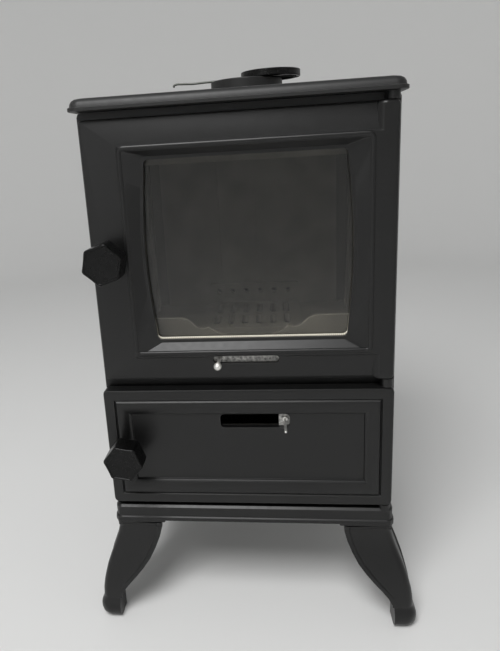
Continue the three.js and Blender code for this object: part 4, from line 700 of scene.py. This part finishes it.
def add_band(builder, left, right, bottom, top, y, width, deep, corner):
    """An oval section drawn along four sides and turned round four corners."""
    circle = bmesh.ops.create_circle(builder, segments=16, radius=1.0)["verts"]
    place = Matrix.Translation((left + corner, y, bottom)) @ Matrix.Rotation(math.pi / 2, 4, "Y")
    oval = Matrix.Diagonal((width / 2, deep / 2, 1.0, 1.0))
    bmesh.ops.transform(builder, matrix=place @ oval, verts=circle)
    ring = list({edge for vert in circle for edge in vert.link_edges})
    across = right - left - 2 * corner
    up = top - bottom - 2 * corner
    # Each side's travel, and the centre of the corner after it
    sides = [((across, 0, 0), (right - corner, y, bottom + corner)),
             ((0, 0, up), (right - corner, y, top - corner)),
             ((-across, 0, 0), (left + corner, y, top - corner)),
             ((0, 0, -up), (left + corner, y, bottom + corner))]
    for travel, centre in sides:
        verts, ring = next_ring(builder, ring)
        bmesh.ops.translate(builder, verts=verts, vec=travel)
        last = bmesh.ops.spin(builder, geom=verts + ring, cent=centre, axis=(0, -1, 0), dvec=(0, 0, 0),
                              angle=math.pi / 2, steps=10)["geom_last"]
        ring = [e for e in last if isinstance(e, bmesh.types.BMEdge)]
    bmesh.ops.remove_doubles(builder, verts=builder.verts, dist=0.001 * MM)
    bmesh.ops.recalc_face_normals(builder, faces=builder.faces)


def make_seal(node):
    """A rope seal in its channel."""
    low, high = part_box(node)
    width = 8.4 * MM
    corner = 12 * MM
    builder = bmesh.new()
    add_band(builder, low.x + width / 2, high.x - width / 2, low.z + width / 2, high.z - width / 2,
             (low.y + high.y) / 2, width, high.y - low.y, corner)
    finish_piece(builder, node, "_knitted", smooth=60)


def make_window_ridge():
    """The rounded ridge that is cast round the window of the upper door."""
    low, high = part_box("upper_door")
    width = 6.5 * MM
    deep = 5 * MM
    proud = 1.3 * MM
    corner = 5 * MM
    left, right = -128.4 * MM, 146.8 * MM
    above_sill, below_top = 36.7 * MM, 32.8 * MM
    builder = bmesh.new()
    add_band(builder, left, right, low.z + above_sill, high.z - below_top, low.y - proud + deep / 2,
             width, deep, corner)
    finish_piece(builder, "upper_door", "_ridge", smooth=60)


make_damper_rod()
make_knob("upper_knob", turn_degrees=78.4)
make_knob("lower_knob", turn_degrees=-9.3)
make_seal("upper_door_rope")
make_seal("lower_door_rope")
make_window_ridge()

# Studio and light, in metres and watts

WORLD_COLOUR = "#e4e5e6"
WORLD_STRENGTH = 0.3
# Where each lamp stands, what it faces, how wide it is and its power
LAMPS = {
    "overhead": ((-0.45, -1.5, 2.5), (0, 0, 0.3), 1.2, 56),
    "front": ((-1.4, -2.4, 1.2), (0, 0, 0.35), 1.8, 5),
}


def add_studio():
    """A pale floor that turns up into a wall all round, far from the stove."""
    radius, corner, height = 3.2, 1.0, 3.0
    profile = [(0, 0)] + arc(radius - corner, corner, corner, 270, 360, 16) + [(radius, height)]
    builder = bmesh.new()
    verts = [builder.verts.new((x, 0, z)) for x, z in profile]
    edges = [builder.edges.new(pair) for pair in zip(verts, verts[1:])]
    bmesh.ops.spin(builder, geom=verts + edges, cent=(0, 0, 0), axis=(0, 0, 1), dvec=(0, 0, 0),
                   angle=math.tau, steps=96, use_merge=True)
    bmesh.ops.remove_doubles(builder, verts=builder.verts, dist=0.1 * MM)
    bmesh.ops.recalc_face_normals(builder, faces=builder.faces)
    mesh = bpy.data.meshes.new("studio")
    builder.to_mesh(mesh)
    builder.free()
    mesh.shade_smooth()
    paper = new_material("pale_paper", {"Roughness": 0.85, "Base Color": linear("#e6e6e5")})[0]
    mesh.materials.append(paper)
    studio = bpy.data.objects.new("studio", mesh)
    bpy.context.scene.collection.objects.link(studio)


def add_lamp(name, place, target, size, power):
    """A square soft lamp that faces its target."""
    data = bpy.data.lights.new(name, "AREA")
    data.size = size
    data.energy = power
    lamp = bpy.data.objects.new(name, data)
    lamp.location = place
    lamp.rotation_euler = (Vector(target) - Vector(place)).to_track_quat("-Z", "Y").to_euler()
    bpy.context.scene.collection.objects.link(lamp)


def set_light():
    """A pale even world, and the lamps."""
    world = bpy.data.worlds.new("world")
    world.use_nodes = True
    background = world.node_tree.nodes["Background"]
    background.inputs["Color"].default_value = linear(WORLD_COLOUR)
    background.inputs["Strength"].default_value = WORLD_STRENGTH
    bpy.context.scene.world = world
    for name, (place, target, size, power) in LAMPS.items():
        add_lamp(name, place, target, size, power)


set_camera()
add_studio()
set_light()
bpy.context.scene.view_settings.view_transform = "Standard"
